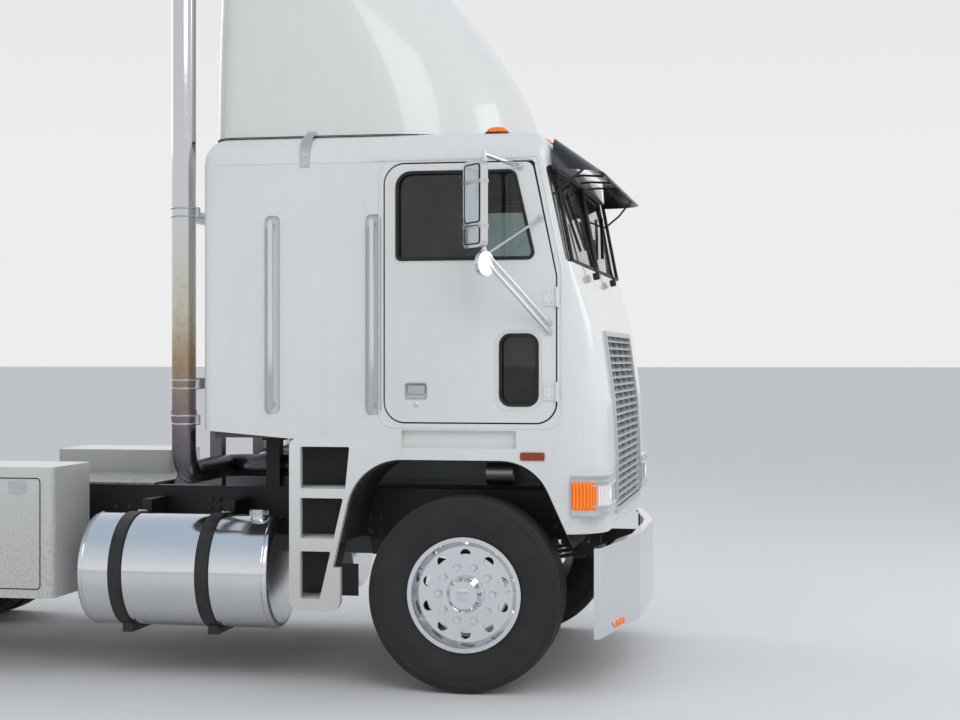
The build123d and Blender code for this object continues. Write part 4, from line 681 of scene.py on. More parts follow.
class Shape:
    """Collects points and faces, then becomes one piece."""

    def __init__(self):
        self.points = []
        self.faces = []
        self.wear = []
        self.posts = 0

    def add(self, points, faces, wear=0.0):
        start = len(self.points)
        self.points.extend(tuple(p) for p in points)
        self.wear.extend(wear if isinstance(wear, list) else [wear] * len(points))
        self.faces.extend(tuple(start + i for i in face) for face in faces)
        return self

    def rows(self, rows, loop=False, caps=False, wear=0.0, skip=None):
        """Joins closed rows of equally many points. loop joins the two ends, and caps close them."""
        count = len(rows[0])
        faces = []
        for r in range(len(rows) if loop else len(rows) - 1):
            here, following = r * count, (r + 1) % len(rows) * count
            for c in range(count):
                beside = (c + 1) % count
                if not (skip and skip(r, c)):
                    faces.append((here + c, here + beside, following + beside, following + c))
        if caps:
            faces.append(tuple(range(count)))
            faces.append(tuple(range((len(rows) - 1) * count, len(rows) * count)))
        spread = [w for w in wear for _ in range(count)] if isinstance(wear, list) else wear
        return self.add([p for row in rows for p in row], faces, spread)

    def turned(self, profile, centre, steps, wear=0.0):
        """A profile of (radius, offset) turned about the y axis through centre."""
        cx, cy, cz = centre
        rows = []
        for radius, offset in profile:
            row = [(cx + radius * math.cos(a), cy + offset, cz + radius * math.sin(a)) for a in turns(steps)]
            rows.append(row)
        return self.rows(rows, wear=wear)

    def tube(self, path, radius, sides=10, closed=False):
        """A round tube along a path of points."""
        points = [Vector(p) for p in path]
        count = len(points)
        rows = []
        normal = None
        for i, point in enumerate(points):
            after = points[(i + 1) % count] if closed or i < count - 1 else point
            before = points[i - 1] if closed or i else point
            along = (after - before).normalized()
            if normal is None:
                normal = along.orthogonal().normalized()
            normal = (normal - along * normal.dot(along)).normalized()
            other = along.cross(normal)
            rows.append([point + (normal * math.cos(a) + other * math.sin(a)) * radius for a in turns(sides)])
        return self.rows(rows, loop=closed, caps=not closed)

    def box(self, low, high, bevel=0.0):
        """A block with chamfered edges: eight corners, each cut back by bevel."""
        lo, hi = Vector(low), Vector(high)
        for i in range(3):
            if lo[i] > hi[i]:
                lo[i], hi[i] = hi[i], lo[i]
        if not bevel:
            corners = [(x, y, z) for x in (lo.x, hi.x) for y in (lo.y, hi.y) for z in (lo.z, hi.z)]
            faces = [(0, 1, 3, 2), (4, 6, 7, 5), (0, 4, 5, 1), (2, 3, 7, 6), (0, 2, 6, 4), (1, 5, 7, 3)]
            return self.add(corners, faces)
        b = min(bevel, min(hi - lo) * 0.49)
        rows = []
        for z, cut in ((lo.z, b), (lo.z + b, 0), (hi.z - b, 0), (hi.z, b)):
            x0, x1, y0, y1 = lo.x + cut, hi.x - cut, lo.y + cut, hi.y - cut
            rows.append([
                (x0 + b, y0, z), (x1 - b, y0, z), (x1, y0 + b, z), (x1, y1 - b, z),
                (x1 - b, y1, z), (x0 + b, y1, z), (x0, y1 - b, z), (x0, y0 + b, z),
            ])
        return self.rows(rows, caps=True)

    def slab(self, outline, low, high):
        """An outline of (y, z) made solid between two places along x."""
        return self.rows([[(x, y, z) for y, z in outline] for x in (low, high)], caps=True)

    def post(self, place, direction, radius, steps, sides):
        """Rings that stand on place along direction, one for each (rise, share of the radius)."""
        along = Vector(direction).normalized()
        across = along.orthogonal().normalized()
        other = along.cross(across)
        spokes = [across * math.cos(a) + other * math.sin(a) for a in turns(sides)]
        self.posts += 1
        rows = [
            [Vector(place) + along * rise + spoke * radius * size for spoke in spokes]
            for rise, size in steps
        ]
        return self.rows(rows, caps=True)

    def bolt(self, place, direction, radius, height):
        """A hex head with a small chamfer, standing on place along direction."""
        return self.post(place, direction, radius, ((0, 1), (height * 0.8, 1), (height, 0.82)), 6)

    def disc(self, place, direction, radius, height, sides=32, dome=0.0):
        """A short round post, with a domed end if dome is over 0."""
        steps = [(0, 1), (height, 1)]
        if dome:
            steps += [(height + dome * math.sin(t), math.cos(t)) for t in (0.4, 0.8, 1.15, 1.45)]
        return self.post(place, direction, radius, steps, sides)


def rounded(points, radii, steps=6):
    """A closed outline of two coordinates with each corner rounded to its own radius."""
    made = []
    count = len(points)
    for i, (point, radius) in enumerate(zip(points, radii)):
        p = Vector(point)
        before, after = Vector(points[i - 1]), Vector(points[(i + 1) % count])
        u, v = (before - p).normalized(), (after - p).normalized()
        half = u.angle(v) / 2
        cut = radius / math.tan(half)
        middle = p + (u + v).normalized() * (radius / math.sin(half))
        start, end = p + u * cut - middle, p + v * cut - middle
        turn = start.angle_signed(end)
        for k in range(steps + 1):
            a = -turn * k / steps
            made.append((
                middle.x + start.x * math.cos(a) - start.y * math.sin(a),
                middle.y + start.x * math.sin(a) + start.y * math.cos(a),
            ))
    return made


def oblong(left, right, low, high, radius, steps=6):
    """An outline with four corners, all rounded to one radius."""
    return rounded([(left, low), (right, low), (right, high), (left, high)], [radius] * 4, steps)


def piece(name, shape, finish, body, angle=35):
    """Turns a Shape into an object that rides on a body."""
    mesh = bpy.data.meshes.new(name)
    mesh.from_pydata(shape.points, [], shape.faces)
    if any(shape.wear):
        mesh.attributes.new("wear", "FLOAT", "POINT").data.foreach_set("value", shape.wear)
    work = bmesh.new()
    work.from_mesh(mesh)
    bmesh.ops.recalc_face_normals(work, faces=work.faces)
    work.to_mesh(mesh)
    work.free()
    mesh.shade_smooth()
    mesh.set_sharp_from_angle(angle=math.radians(angle))
    mesh.materials.append(finish)
    made = bpy.data.objects.new(name, mesh)
    bpy.context.scene.collection.objects.link(made)
    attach(made, body)
    return made


def baked(source, name):
    """A new mesh with the source's modifiers worked out."""
    ready = source.evaluated_get(bpy.context.evaluated_depsgraph_get())
    mesh = bpy.data.meshes.new_from_object(ready)
    mesh.name = name
    return mesh


print("shape maker ready")

# %% [markdown]
# A truck tyre is a stiff, square-shouldered thing. The front pair have plain ribs, with four deep grooves
# running round them, because they steer. The eight driven tyres need grip and have blocks. Both share a side
# wall: it bulges most halfway up, has a guard ring near the rim and a moulded line below the shoulder.
# A turned profile makes the wall and the ribs, and blocks are added row by row round the tread.

# %% Tyres
TREAD_DEPTH = 0.015
BLOCKS_ROUND = 54
tyre_low, tyre_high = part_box("front_tyre_right")
TYRE_R = (tyre_high.z - tyre_low.z) / 2
TYRE_HALF = (tyre_high.y - tyre_low.y) / 2
WALL = [
    (0.286, 0.70), (0.296, 0.74), (0.303, 0.805), (0.316, 0.83), (0.320, 0.855), (0.332, 0.865),
    (0.337, 0.885), (0.352, 0.935), (0.372, 0.975), (0.395, 0.997), (0.420, 1.0), (0.443, 0.985),
    (0.460, 0.957), (0.463, 0.962), (0.468, 0.958), (0.470, 0.94), (0.482, 0.905), (0.492, 0.868),
]
GROOVES = (-0.58, -0.2, 0.2, 0.58)
GROOVE_HALF = 0.045
# A groove's four points: shift by half its width, how deep, and how worn that place looks
GROOVE = [(1.0, 0, 1.0), (0.72, TREAD_DEPTH, 2.0), (-0.72, TREAD_DEPTH, 2.0), (-1.0, 0, 1.0)]
# Each row of blocks: its edges as shares of the half width, the blocks' length and skew as shares of a pitch
BLOCK_ROWS = [
    (-0.86, -0.50, 0.66, 0.10), (-0.42, -0.04, 0.60, 0.28),
    (0.04, 0.42, 0.60, 0.28), (0.50, 0.86, 0.66, 0.10),
]
TREAD_EDGE = 0.83


def crown(t):
    """Tread radius at a share t of the half width."""
    return TYRE_R - 0.010 * t * t


def tyre_profile(ribbed):
    wall = [(r, t * TYRE_HALF, 0.0) for r, t in WALL]
    base = 0.0 if ribbed else TREAD_DEPTH
    edge = (crown(TREAD_EDGE) - base, TREAD_EDGE * TYRE_HALF, 1.0 if ribbed else 2.0)
    tread = [edge]
    if ribbed:
        for t in reversed(GROOVES):
            for shift, drop, wear in GROOVE:
                share = t + shift * GROOVE_HALF
                tread.append((crown(share) - drop, share * TYRE_HALF, wear))
    else:
        tread.append((TYRE_R - base, 0.0, 2.0))
    tread.append((edge[0], -edge[1], edge[2]))
    return wall + tread + [(r, -y, w) for r, y, w in reversed(wall)]


def tread_blocks(shape, centre):
    cx, cy, cz = centre
    pitch = 2 * math.pi / BLOCKS_ROUND
    for row, (t0, t1, length, skew) in enumerate(BLOCK_ROWS):
        for i in range(BLOCKS_ROUND):
            start = pitch * (i + 0.5 * (row % 2))
            corners = []
            for base, grow in ((TREAD_DEPTH + 0.002, 0.04), (0, 0)):
                for t, lean in ((t0, 0), (t1, skew)):
                    for end in (-grow, length + grow):
                        a = start + pitch * (end + lean)
                        r = crown(t) - base
                        corners.append((cx + r * math.cos(a), cy + t * TYRE_HALF, cz + r * math.sin(a)))
            faces = [(4, 5, 7, 6), (0, 4, 6, 2), (1, 3, 7, 5), (0, 1, 5, 4), (2, 6, 7, 3)]
            shape.add(corners, faces, [1.6] * 4 + [1.0] * 4)


def tyre(shape, centre, ribbed):
    profile = tyre_profile(ribbed)
    shape.turned([(r, y) for r, y, _ in profile], centre, 108 if ribbed else 84, [w for _, _, w in profile])
    if not ribbed:
        tread_blocks(shape, centre)


def tyre_centres(node, count):
    """Middle of each tyre in a node that holds count tyres side by side."""
    low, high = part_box(node)
    first = low.y + TYRE_HALF
    gap = (high.y - low.y - 2 * TYRE_HALF) / max(count - 1, 1)
    return [((low.x + high.x) / 2, first + gap * i, (low.z + high.z) / 2) for i in range(count)]


for side in SIDES:
    front = Shape()
    for centre in tyre_centres(f"front_tyre_{side}", 1):
        tyre(front, centre, True)
    made = piece(f"steer_tyre_{side}", front, tyre_black, f"wheel_front_{side}", 28)
    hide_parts(f"front_tyre_{side}")
    for axle in (1, 2):
        pair = Shape()
        for centre in tyre_centres(f"drive{axle}_tyres_{side}", 2):
            tyre(pair, centre, False)
        body = f"wheels_drive{axle}_{side}"
        made = piece(f"twin_tyres_{axle}_{side}", pair, tyre_black, body, 28)
        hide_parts(f"drive{axle}_tyres_{side}")
print("tyre radius", round(TYRE_R, 3), "half width", round(TYRE_HALF, 4))

# %% [markdown]
# From here on, places are given in metres from the front axle, as a workshop drawing would give them. The
# frame has its origin under the middle of the truck, so one small function adds the axle's own place.

# %% Places
AXLE_X = (tyre_low.x + tyre_high.x) / 2
CAB_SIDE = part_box("cab_sides")[1].y
ROOF_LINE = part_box("cab_roof")[1].z


def at(x, y, z):
    return Vector((AXLE_X + x, y, z))


def route(*places):
    """Points from places given as (x, y, z)."""
    return [at(*place) for place in places]


def on_side(side, points):
    """Points of (x, out, z) placed on one side of the truck."""
    return [at(x, SIDES[side] * out, z) for x, out, z in points]


def frame_mesh(name):
    """The points and faces of a frame node."""
    node = NODES[name]
    points = [node.matrix_world @ v.co for v in node.data.vertices]
    return points, [tuple(p.vertices) for p in node.data.polygons]


print("axle at", round(AXLE_X, 3), "cab half width", round(CAB_SIDE, 3))

# %% [markdown]
# The front shell. In the frame a thin skin of it runs on behind the windscreen, so nobody could look in. The
# piece made here stands for that shell and keeps its form. Two blocks, one for each pane, cut the skin away
# and leave a narrow ledge all round, which is what a pane is bonded to. A boolean modifier does the cutting.

# %% Front shell
SCREEN_LOW, SCREEN_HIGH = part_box("windscreen")
LEDGE = 0.020
PANE_IN, PANE_OUT = 0.034, 1.070
CUT_REAR, CUT_FRONT = 0.380, 0.640


def opened_front():
    shell = piece("front_shell", Shape().add(*frame_mesh("cab_front")), cab_paint, "cab")
    shell.modifiers.new("weld", "WELD").merge_threshold = WELD_REACH
    cutters = []
    for sign in SIDES.values():
        block = Shape().box(
            at(CUT_REAR, sign * PANE_IN, SCREEN_LOW.z + LEDGE),
            at(CUT_FRONT, sign * PANE_OUT, SCREEN_HIGH.z - LEDGE),
        )
        cutters.append(piece("cutter", block, cab_paint, "cab"))
        cut = shell.modifiers.new("cut", "BOOLEAN")
        cut.object = cutters[-1]
        cut.operation = "DIFFERENCE"
    mesh = baked(shell, "front_shell")
    shell.modifiers.clear()
    shell.data = mesh
    for cutter in cutters:
        bpy.data.objects.remove(cutter)
    mesh.shade_smooth()
    mesh.set_sharp_from_angle(angle=SMOOTH_ANGLE)
    return shell


front_shell = opened_front()
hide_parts("cab_front")
print("front shell faces", len(front_shell.data.polygons))

# %% [markdown]
# The roof fairing is one large moulding. The frame gives ten outlines of it, with flats between. A moulding
# has no flats, so the outlines are joined here by a smooth curve that passes through all of them. The shell
# is thin, open at the back and rolled over at its edge.

# %% Roof fairing
FAIRING = [
    (2.900, 0.190, 1.030, 0.700), (3.100, 0.150, 1.020, 0.700), (3.300, 0.070, 1.008, 0.690),
    (3.500, -0.055, 0.992, 0.660), (3.700, -0.200, 0.970, 0.620), (3.850, -0.330, 0.940, 0.560),
    (3.960, -0.460, 0.900, 0.480), (4.040, -0.590, 0.850, 0.390), (4.085, -0.720, 0.790, 0.310),
    (4.100, -0.830, 0.720, 0.240),
]
FAIRING_REAR = -1.405
FAIRING_TAIL_R = 0.14
FAIRING_SKIN = 0.022
FAIRING_OPEN_TOP = 3.94
BETWEEN = 6


def passing(p, q, r, s, t):
    """A curve through p, q, r and s. It is at q where t is 0 and at r where t is 1."""
    return 0.5 * (2 * q + (r - p) * t + (2 * p - 5 * q + 4 * r - s) * t**2 + (3 * q - p - 3 * r + s) * t**3)


def smooth_rows(table, between):
    """Rows of numbers joined by a curve that passes through each of them."""
    made = []
    for i in range(len(table) - 1):
        four = [table[max(0, min(len(table) - 1, k))] for k in (i - 1, i, i + 1, i + 2)]
        for step in range(between):
            made.append(tuple(passing(*values, step / between) for values in zip(*four)))
    return [*made, table[-1]]


def fairing_row(level, inset):
    z, front, half, nose = level
    rear, w = FAIRING_REAR + inset, half - inset
    corners = [(rear, -w), (front - inset, -w), (front - inset, w), (rear, w)]
    radii = [FAIRING_TAIL_R - inset, nose - inset, nose - inset, FAIRING_TAIL_R - inset]
    return [at(x, y, z) for x, y in rounded(corners, radii, 10)]


def fairing():
    shell = Shape()
    levels = smooth_rows(FAIRING, BETWEEN)
    for inset in (0.0, FAIRING_SKIN):
        rows = [fairing_row((z - (inset if z > 3.5 else 0), *rest), inset) for z, *rest in levels]
        count = len(rows[0])
        # The back is open below the top edge of the opening, so its one long face is left out there
        shell.rows(rows, skip=lambda r, c: c == count - 1 and levels[r][0] < FAIRING_OPEN_TOP)
        top = rows[-1]
        middle = sum(top, Vector()) / count
        shell.rows([[p.lerp(middle, t) for p in top] for t in (0, 0.33, 0.66, 0.98)], caps=False)
        shell.add([p.lerp(middle, 0.98) for p in top], [tuple(range(count))])
    outer = [fairing_row(level, 0.010) for level in levels if level[0] < FAIRING_OPEN_TOP]
    edge = [row[-1] for row in outer] + [row[0] for row in reversed(outer)]
    shell.tube(edge, 0.011, 8)
    return shell


made = piece("fairing_shell", fairing(), fairing_gelcoat, "cab", 40)
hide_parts("roof_fairing")
print("fairing faces", len(made.data.polygons))

# %% [markdown]
# A black gasket lies under the fairing's edge, and one strap a side ties the moulding down to the cab. The
# strap is bent over the rounded edge of the roof and held by bolts at both ends.

# %% Fairing gasket and straps
STRAP_X = -0.84
STRAP_HALF = 0.026
STRAP_BEND = [
    (1.174, 2.725), (1.174, 2.80), (1.166, 2.83), (1.142, 2.864),
    (1.098, 2.896), (1.040, 2.912), (1.032, 2.93),
]

gasket = Shape()
for low in (2.9005, 2.906):
    gasket.tube(fairing_row((low, *FAIRING[0][1:]), 0.004), 0.005, 6, closed=True)
piece("fairing_gasket", gasket, seal_rubber, "cab")

straps = Shape()
bolts = Shape()
for side in SIDES:
    corners = []
    for x, down in ((-STRAP_HALF, 0), (STRAP_HALF, 0), (STRAP_HALF, 1), (-STRAP_HALF, 1)):
        corners.append(
            on_side(side, [(STRAP_X + x, y - 0.006 * down, z - 0.002 * down) for y, z in STRAP_BEND])
        )
    straps.rows([list(four) for four in zip(*corners)], caps=True)
    for z in (2.745, 2.79):
        bolts.bolt(at(STRAP_X, SIDES[side] * 1.174, z), (0, SIDES[side], 0), 0.009, 0.007)
piece("fairing_straps", straps, brushed_alloy, "cab")
piece("strap_bolts", bolts, chrome, "cab")
print("straps", len(SIDES))

# %% [markdown]
# Rubber seals frame the glass. On the door they are round beads along the edge of each pane, and the door
# itself closes against a seal that shows as a dark line in the gap. Each follows the pane's rounded outline.

# %% Door seals and bead
WINDOW = [(-0.345, 2.240), (0.372, 2.240), (0.268, 2.685), (-0.345, 2.685)]
WINDOW_R = [0.020, 0.030, 0.040, 0.075]
PEEP = [(0.197, 1.490), (0.387, 1.490), (0.387, 1.848), (0.197, 1.848)]
PEEP_R = [0.052] * 4
DOOR = [(-0.410, 1.400), (0.482, 1.400), (0.482, 2.150), (0.360, 2.730), (-0.410, 2.730)]
DOOR_R = [0.105, 0.105, 0.060, 0.040, 0.105]


def grown(points, by):
    """An outline with each corner moved out from the middle by the same amount along both axes."""
    cx = sum(x for x, _ in points) / len(points)
    cz = sum(z for _, z in points) / len(points)
    return [(x + math.copysign(by, x - cx), z + math.copysign(by, z - cz)) for x, z in points]


def ringed(side, *rings):
    """Closed tubes round outlines on a side of the cab: outline, corner radii, lift, thickness and sides."""
    made = Shape()
    for points, radii, lift, thickness, sides in rings:
        path = on_side(side, [(x, CAB_SIDE + lift, z) for x, z in rounded(points, radii, 8)])
        made.tube(path, thickness, sides, closed=True)
    return made


for side in SIDES:
    window = (WINDOW, WINDOW_R, 0.001, 0.0095, 8)
    seals = ringed(side, window, (PEEP, PEEP_R, 0.001, 0.0085, 8), (WINDOW, WINDOW_R, -0.018, 0.007, 6))
    piece(f"glass_seals_{side}", seals, seal_rubber, f"door_{side}")
    panel = (grown(DOOR, -0.030), [r - 0.02 for r in DOOR_R], -0.0005, 0.0045, 8)
    edge = ringed(side, panel, (grown(PEEP, 0.026), [0.075] * 4, -0.0005, 0.005, 8))
    piece(f"door_bead_{side}", edge, cab_paint, f"door_{side}")
    gap = ringed(side, (grown(DOOR, 0.003), [r + 0.002 for r in DOOR_R], -0.022, 0.0055, 8))
    piece(f"door_seal_{side}", gap, seal_rubber, "cab")
print("seals made for", list(SIDES))

# %% [markdown]
# The windscreen is two curved panes. Its seal has to lie on a surface that bends round the cab's corner, so
# the seal asks the pane itself where its edge is: a ray shot backwards from in front finds the glass.

# %% Windscreen seals and wipers
glass_tree = BVHTree.FromPolygons(*frame_mesh("windscreen"))
cab_tree = BVHTree.FromPolygons(*frame_mesh("cab_front"))


def on_screen(y, z, lift=0.0):
    """The point of the windscreen at width y and height z, lifted off the glass."""
    start = Vector((AXLE_X + 2, y, z))
    place, normal, _, _ = glass_tree.ray_cast(start, Vector((-1, 0, 0)))
    if place is None:
        place, normal, _, _ = cab_tree.ray_cast(start, Vector((-1, 0, 0)))
    if normal.x < 0:
        normal = -normal
    return place + normal * lift


screen_seal = Shape()
for side, sign in SIDES.items():
    low, high, centre, out = SCREEN_LOW.z + 0.006, SCREEN_HIGH.z - 0.006, 0.024, 1.085
    path = [(centre + (out - centre) * i / 24, low) for i in range(25)]
    path += [(out, low + (high - low) * i / 12) for i in range(1, 12)]
    path += [(out + (centre - out) * i / 24, high) for i in range(25)]
    path += [(centre, high + (low - high) * i / 12) for i in range(1, 12)]
    screen_seal.tube([on_screen(sign * y, z, 0.012) for y, z in path], 0.011, 8, closed=True)
piece("screen_seals", screen_seal, seal_rubber, "cab")

wipers = Shape()
for sign in SIDES.values():
    pivot = on_screen(sign * 0.42, SCREEN_LOW.z - 0.05, 0.012)
    end = on_screen(sign * 0.60, SCREEN_LOW.z + 0.235, 0.034)
    wipers.disc(pivot, (1, 0, 0.2), 0.020, 0.030, 20, 0.006)
    wipers.tube(
        [pivot + Vector((0.028, 0, 0)), on_screen(sign * 0.46, SCREEN_LOW.z + 0.04, 0.042), end], 0.006, 8
    )
    blade = [
        on_screen(sign * (0.40 + 0.40 * t), SCREEN_LOW.z + 0.10 + 0.27 * t, 0.020)
        for t in (0, 0.25, 0.5, 0.75, 1)
    ]
    wipers.tube(blade, 0.006, 6)
    wipers.tube([p + Vector((-0.010, 0, 0)) for p in blade], 0.004, 6)
piece("wipers", wipers, seal_rubber, "cab")
print("windscreen from", round(SCREEN_LOW.z, 3), "to", round(SCREEN_HIGH.z, 3))

# %% [markdown]
# Hub caps, wheel nuts and valves. A polished disc wheel is held by ten nuts, and the eye goes to them first.
# Each is a hex with a chamfered top on a round flange. Every hub ends in a stepped cap with a ring of small
# screws. On the driven wheels the cap stands further out, over the end of its shaft.

# %% Wheel nuts and hub caps
NUT_RING = 0.1429
NUTS = 10
FRONT_FACE_OUT = 1.092
DRIVE_FACE_OUT = 0.9865
# Radius and distance out, from the wheel's face and from the cap's own place
FLANGE = [(0.098, 0.002), (0.098, 0.012), (0.090, 0.018)]
CAP = [
    (0.086, -0.012), (0.083, -0.003), (0.076, 0.006), (0.074, 0.020),
    (0.064, 0.028), (0.030, 0.033), (0.0, 0.034),
]


def wheel_trim(x, sign, face, front):
    shape = Shape()
    out = (0, sign, 0)
    z = TYRE_R
    for a in turns(NUTS):
        place = at(x + NUT_RING * math.cos(a), sign * face, z + NUT_RING * math.sin(a))
        shape.disc(place, out, 0.0235, 0.006, 20)
        shape.bolt(place + Vector((0, sign * 0.006, 0)), out, 0.0198, 0.019)
    cap_out = face + (0.030 if front else 0.085)
    profile = [(r, sign * (face + out_by)) for r, out_by in FLANGE]
    profile += [(r, sign * (cap_out + out_by)) for r, out_by in CAP]
    shape.turned(profile, at(x, 0, z), 48)
    for a in turns(8):
        a += math.pi / 8
        place = at(x + 0.0885 * math.cos(a), sign * (face + 0.012), z + 0.0885 * math.sin(a))
        shape.bolt(place, out, 0.0065, 0.008)
    valve = [
        (x + r, sign * (face + y), z + 0.02)
        for r, y in ((0.236, -0.008), (0.228, 0.014), (0.216, 0.034))
    ]
    shape.tube(route(*valve), 0.0045, 8)
    return shape


for side, sign in SIDES.items():
    trim = wheel_trim(0, sign, FRONT_FACE_OUT, True)
    piece(f"front_wheel_trim_{side}", trim, chrome, f"wheel_front_{side}")
    for axle in (1, 2):
        low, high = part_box(f"drive{axle}_rims_{side}")
        x = (low.x + high.x) / 2 - AXLE_X
        trim = wheel_trim(x, sign, DRIVE_FACE_OUT, False)
        piece(f"drive{axle}_trim_{side}", trim, chrome, f"wheels_drive{axle}_{side}")
print("nuts", NUTS * 6)

# %% [markdown]
# The lamps at the cab's corners. The turn lamp wraps the corner, and its lens is pillowed, so it is built as
# a stack of outlines that bulge and draw in again. Each lens sits in a bright bezel, and the roof markers are
# low domes on a rubber base. The lit lamps are those that are lit when the truck is driven at dusk.

# %% Lamps
LAMP_OUT = CAB_SIDE + 0.006
LAMP_FRONT = 0.742
LAMP_CORNER = 0.096
TURN_Z = (0.956, 1.106)
TURN_FRONT = 0.690
MARKER_PLACES = [(0.150, -1.0), (0.310, -0.5), (0.310, 0.0), (0.310, 0.5), (0.150, 1.0)]


def lamp_path(side, first, last, lift):
    """Points round the lamp corner, from x = first on the side to x = last on the corner, lifted off it."""
    cx, cy = LAMP_FRONT - LAMP_CORNER, LAMP_OUT - LAMP_CORNER
    end = math.acos(min(1.0, (last - cx) / LAMP_CORNER))
    made = [(first, LAMP_OUT + lift)]
    for i in range(13):
        a = math.pi / 2 + (end - math.pi / 2) * i / 12
        made.append((cx + (LAMP_CORNER + lift) * math.cos(a), cy + (LAMP_CORNER + lift) * math.sin(a)))
    return [at(x, SIDES[side] * y, 0) for x, y in made]


def lifted(points, z):
    return [Vector((p.x, p.y, z)) for p in points]


amber = Shape()
bezels = Shape()
rubber_base = Shape()
for side, sign in SIDES.items():
    rows = []
    inner = lamp_path(side, 0.570, TURN_FRONT - 0.003, -0.012)
    for drop, lift in ((0.0, 0.0), (0.006, 0.004), (0.016, 0.006), (0.030, 0.007)):
        rows.append((TURN_Z[0] + drop, [*lamp_path(side, 0.568, TURN_FRONT - 0.002, lift), *reversed(inner)]))
    for z, ring in list(reversed(rows)):
        rows.append((sum(TURN_Z) - z, ring))
    amber.rows([lifted(ring, z) for z, ring in rows], caps=True)
    for z in TURN_Z:
        bezels.tube(lifted(lamp_path(side, 0.562, LAMP_FRONT, 0.001), z), 0.0045, 6)
    for z in (0.980, 1.084):
        rim = lifted(lamp_path(side, TURN_FRONT + 0.004, LAMP_FRONT, 0.001), z)
        bezels.tube([*rim, at(LAMP_FRONT + 0.001, sign * 0.742, z)], 0.004, 6)
    for out in (0.758, 0.908, 0.926):
        bezels.tube([at(LAMP_FRONT + 0.001, sign * out, z) for z in (0.980, 1.084)], 0.004, 6)
    post = lamp_path(side, 0.562, LAMP_FRONT, 0.001)[0]
    bezels.tube([Vector((post.x, post.y, z)) for z in TURN_Z], 0.0045, 6)
for x, y in MARKER_PLACES:
    oval = oblong(-0.055, 0.055, -0.03, 0.03, 0.026, 5)
    for grow, z0, z1, shape in ((1.0, 0.0, 0.010, amber), (1.16, 0.0, 0.006, rubber_base)):
        rows = [[at(x + a * grow, y + b * grow, ROOF_LINE + z) for a, b in oval] for z in (z0, z1)]
        shape.rows(rows, caps=True)
    dome = []
    for t in (0, 0.25, 0.5, 0.7, 0.85, 0.95, 1.0):
        size = max(0.04, math.sqrt(max(0.0, 1 - t * t)))
        dome.append([at(x + a * size, y + b * size, ROOF_LINE + 0.010 + 0.025 * t) for a, b in oval])
    amber.rows(dome, caps=True)
made = piece("amber_lenses", amber, amber_lit, "cab", 50)
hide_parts("amber_lamps")
piece("lamp_bezels", bezels, chrome, "cab")
piece("marker_bases", rubber_base, seal_rubber, "cab")

reflectors = Shape()
surrounds = Shape()
for side, sign in SIDES.items():
    shape = oblong(0.300, 0.425, 1.207, 1.248, 0.010, 4)
    reflectors.rows(
        [on_side(side, [(x, out, z) for x, z in shape]) for out in (CAB_SIDE - 0.002, CAB_SIDE + 0.009)],
        caps=True,
    )
    surrounds.tube(on_side(side, [(x, CAB_SIDE + 0.002, z) for x, z in shape]), 0.004, 6, closed=True)
piece("side_reflectors", reflectors, amber_dull, "cab")
piece("reflector_surrounds", surrounds, chrome, "cab")

bumper_lenses, bumper_rings, tail_lenses, tail_rings = Shape(), Shape(), Shape(), Shape()
WING_FROM, WING_TO, WING_BACK = 0.420, 1.200, 0.132
TAIL_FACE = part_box("chassis_lamps")[0].x


def circle(centre, radius, count=28, facing=(1, 0, 0)):
    """Points of a circle that faces along facing."""
    along = Vector(facing).normalized()
    across = along.cross(Vector((0, 0, 1))).normalized()
    other = along.cross(across)
    return [centre + across * (radius * math.cos(a)) + other * (radius * math.sin(a)) for a in turns(count)]


for sign in SIDES.values():
    slope = WING_BACK / (WING_TO - WING_FROM)
    facing = Vector((1, sign * slope, 0)).normalized()
    for out in (0.790, 0.850, 0.910):
        centre = at(0.840 - slope * (out - WING_FROM), sign * out, 0.352)
        bumper_rings.disc(centre - facing * 0.001, facing, 0.0225, 0.004, 32)
        bumper_rings.tube(circle(centre + facing * 0.003, 0.0205, 28, facing), 0.0032, 6, closed=True)
        bumper_lenses.disc(centre - facing * 0.001, facing, 0.0185, 0.008, 28, 0.011)
    for out in (0.340, 0.460):
        centre = Vector((TAIL_FACE + 0.014, sign * out, 0.673))
        tail_lenses.disc(centre, (-1, 0, 0), 0.0455, 0.006, 40, 0.0075)
        tail_rings.tube(circle(centre - Vector((0.004, 0, 0)), 0.0475, 40), 0.0045, 6, closed=True)
made = piece("bumper_lenses", bumper_lenses, amber_lit, "chassis", 50)
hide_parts("chassis_lamps")
piece("tail_lenses", tail_lenses, red_lens, "chassis", 50)
piece("bumper_rings", bumper_rings, chrome, "chassis")
piece("tail_rings", tail_rings, seal_rubber, "chassis")
print("lamps and reflectors made")

# %% [markdown]
# Mirrors. A truck's mirror head is a bright shell with flat glass at its back, a smaller glass below it and
# bands that clamp it to the post. The glass is only a very smooth metal with a dark frame round it.

# %% Mirrors and visor stays
MIRROR_PLACE = (0.120, 1.450, 2.490)
MIRROR_TURN = math.radians(39)


def mirror_glass():
    f = Finish("mirror_glass")
    film = f.step(f.noise(9, 4), 0.45, 0.75)
    return f.shaded({
        "Base Color": f.mix((0.62, 0.67, 0.72), (0.5, 0.52, 0.54), film),
        "Metallic": 1.0,
        "Roughness": film * 0.06 + 0.015,
    })


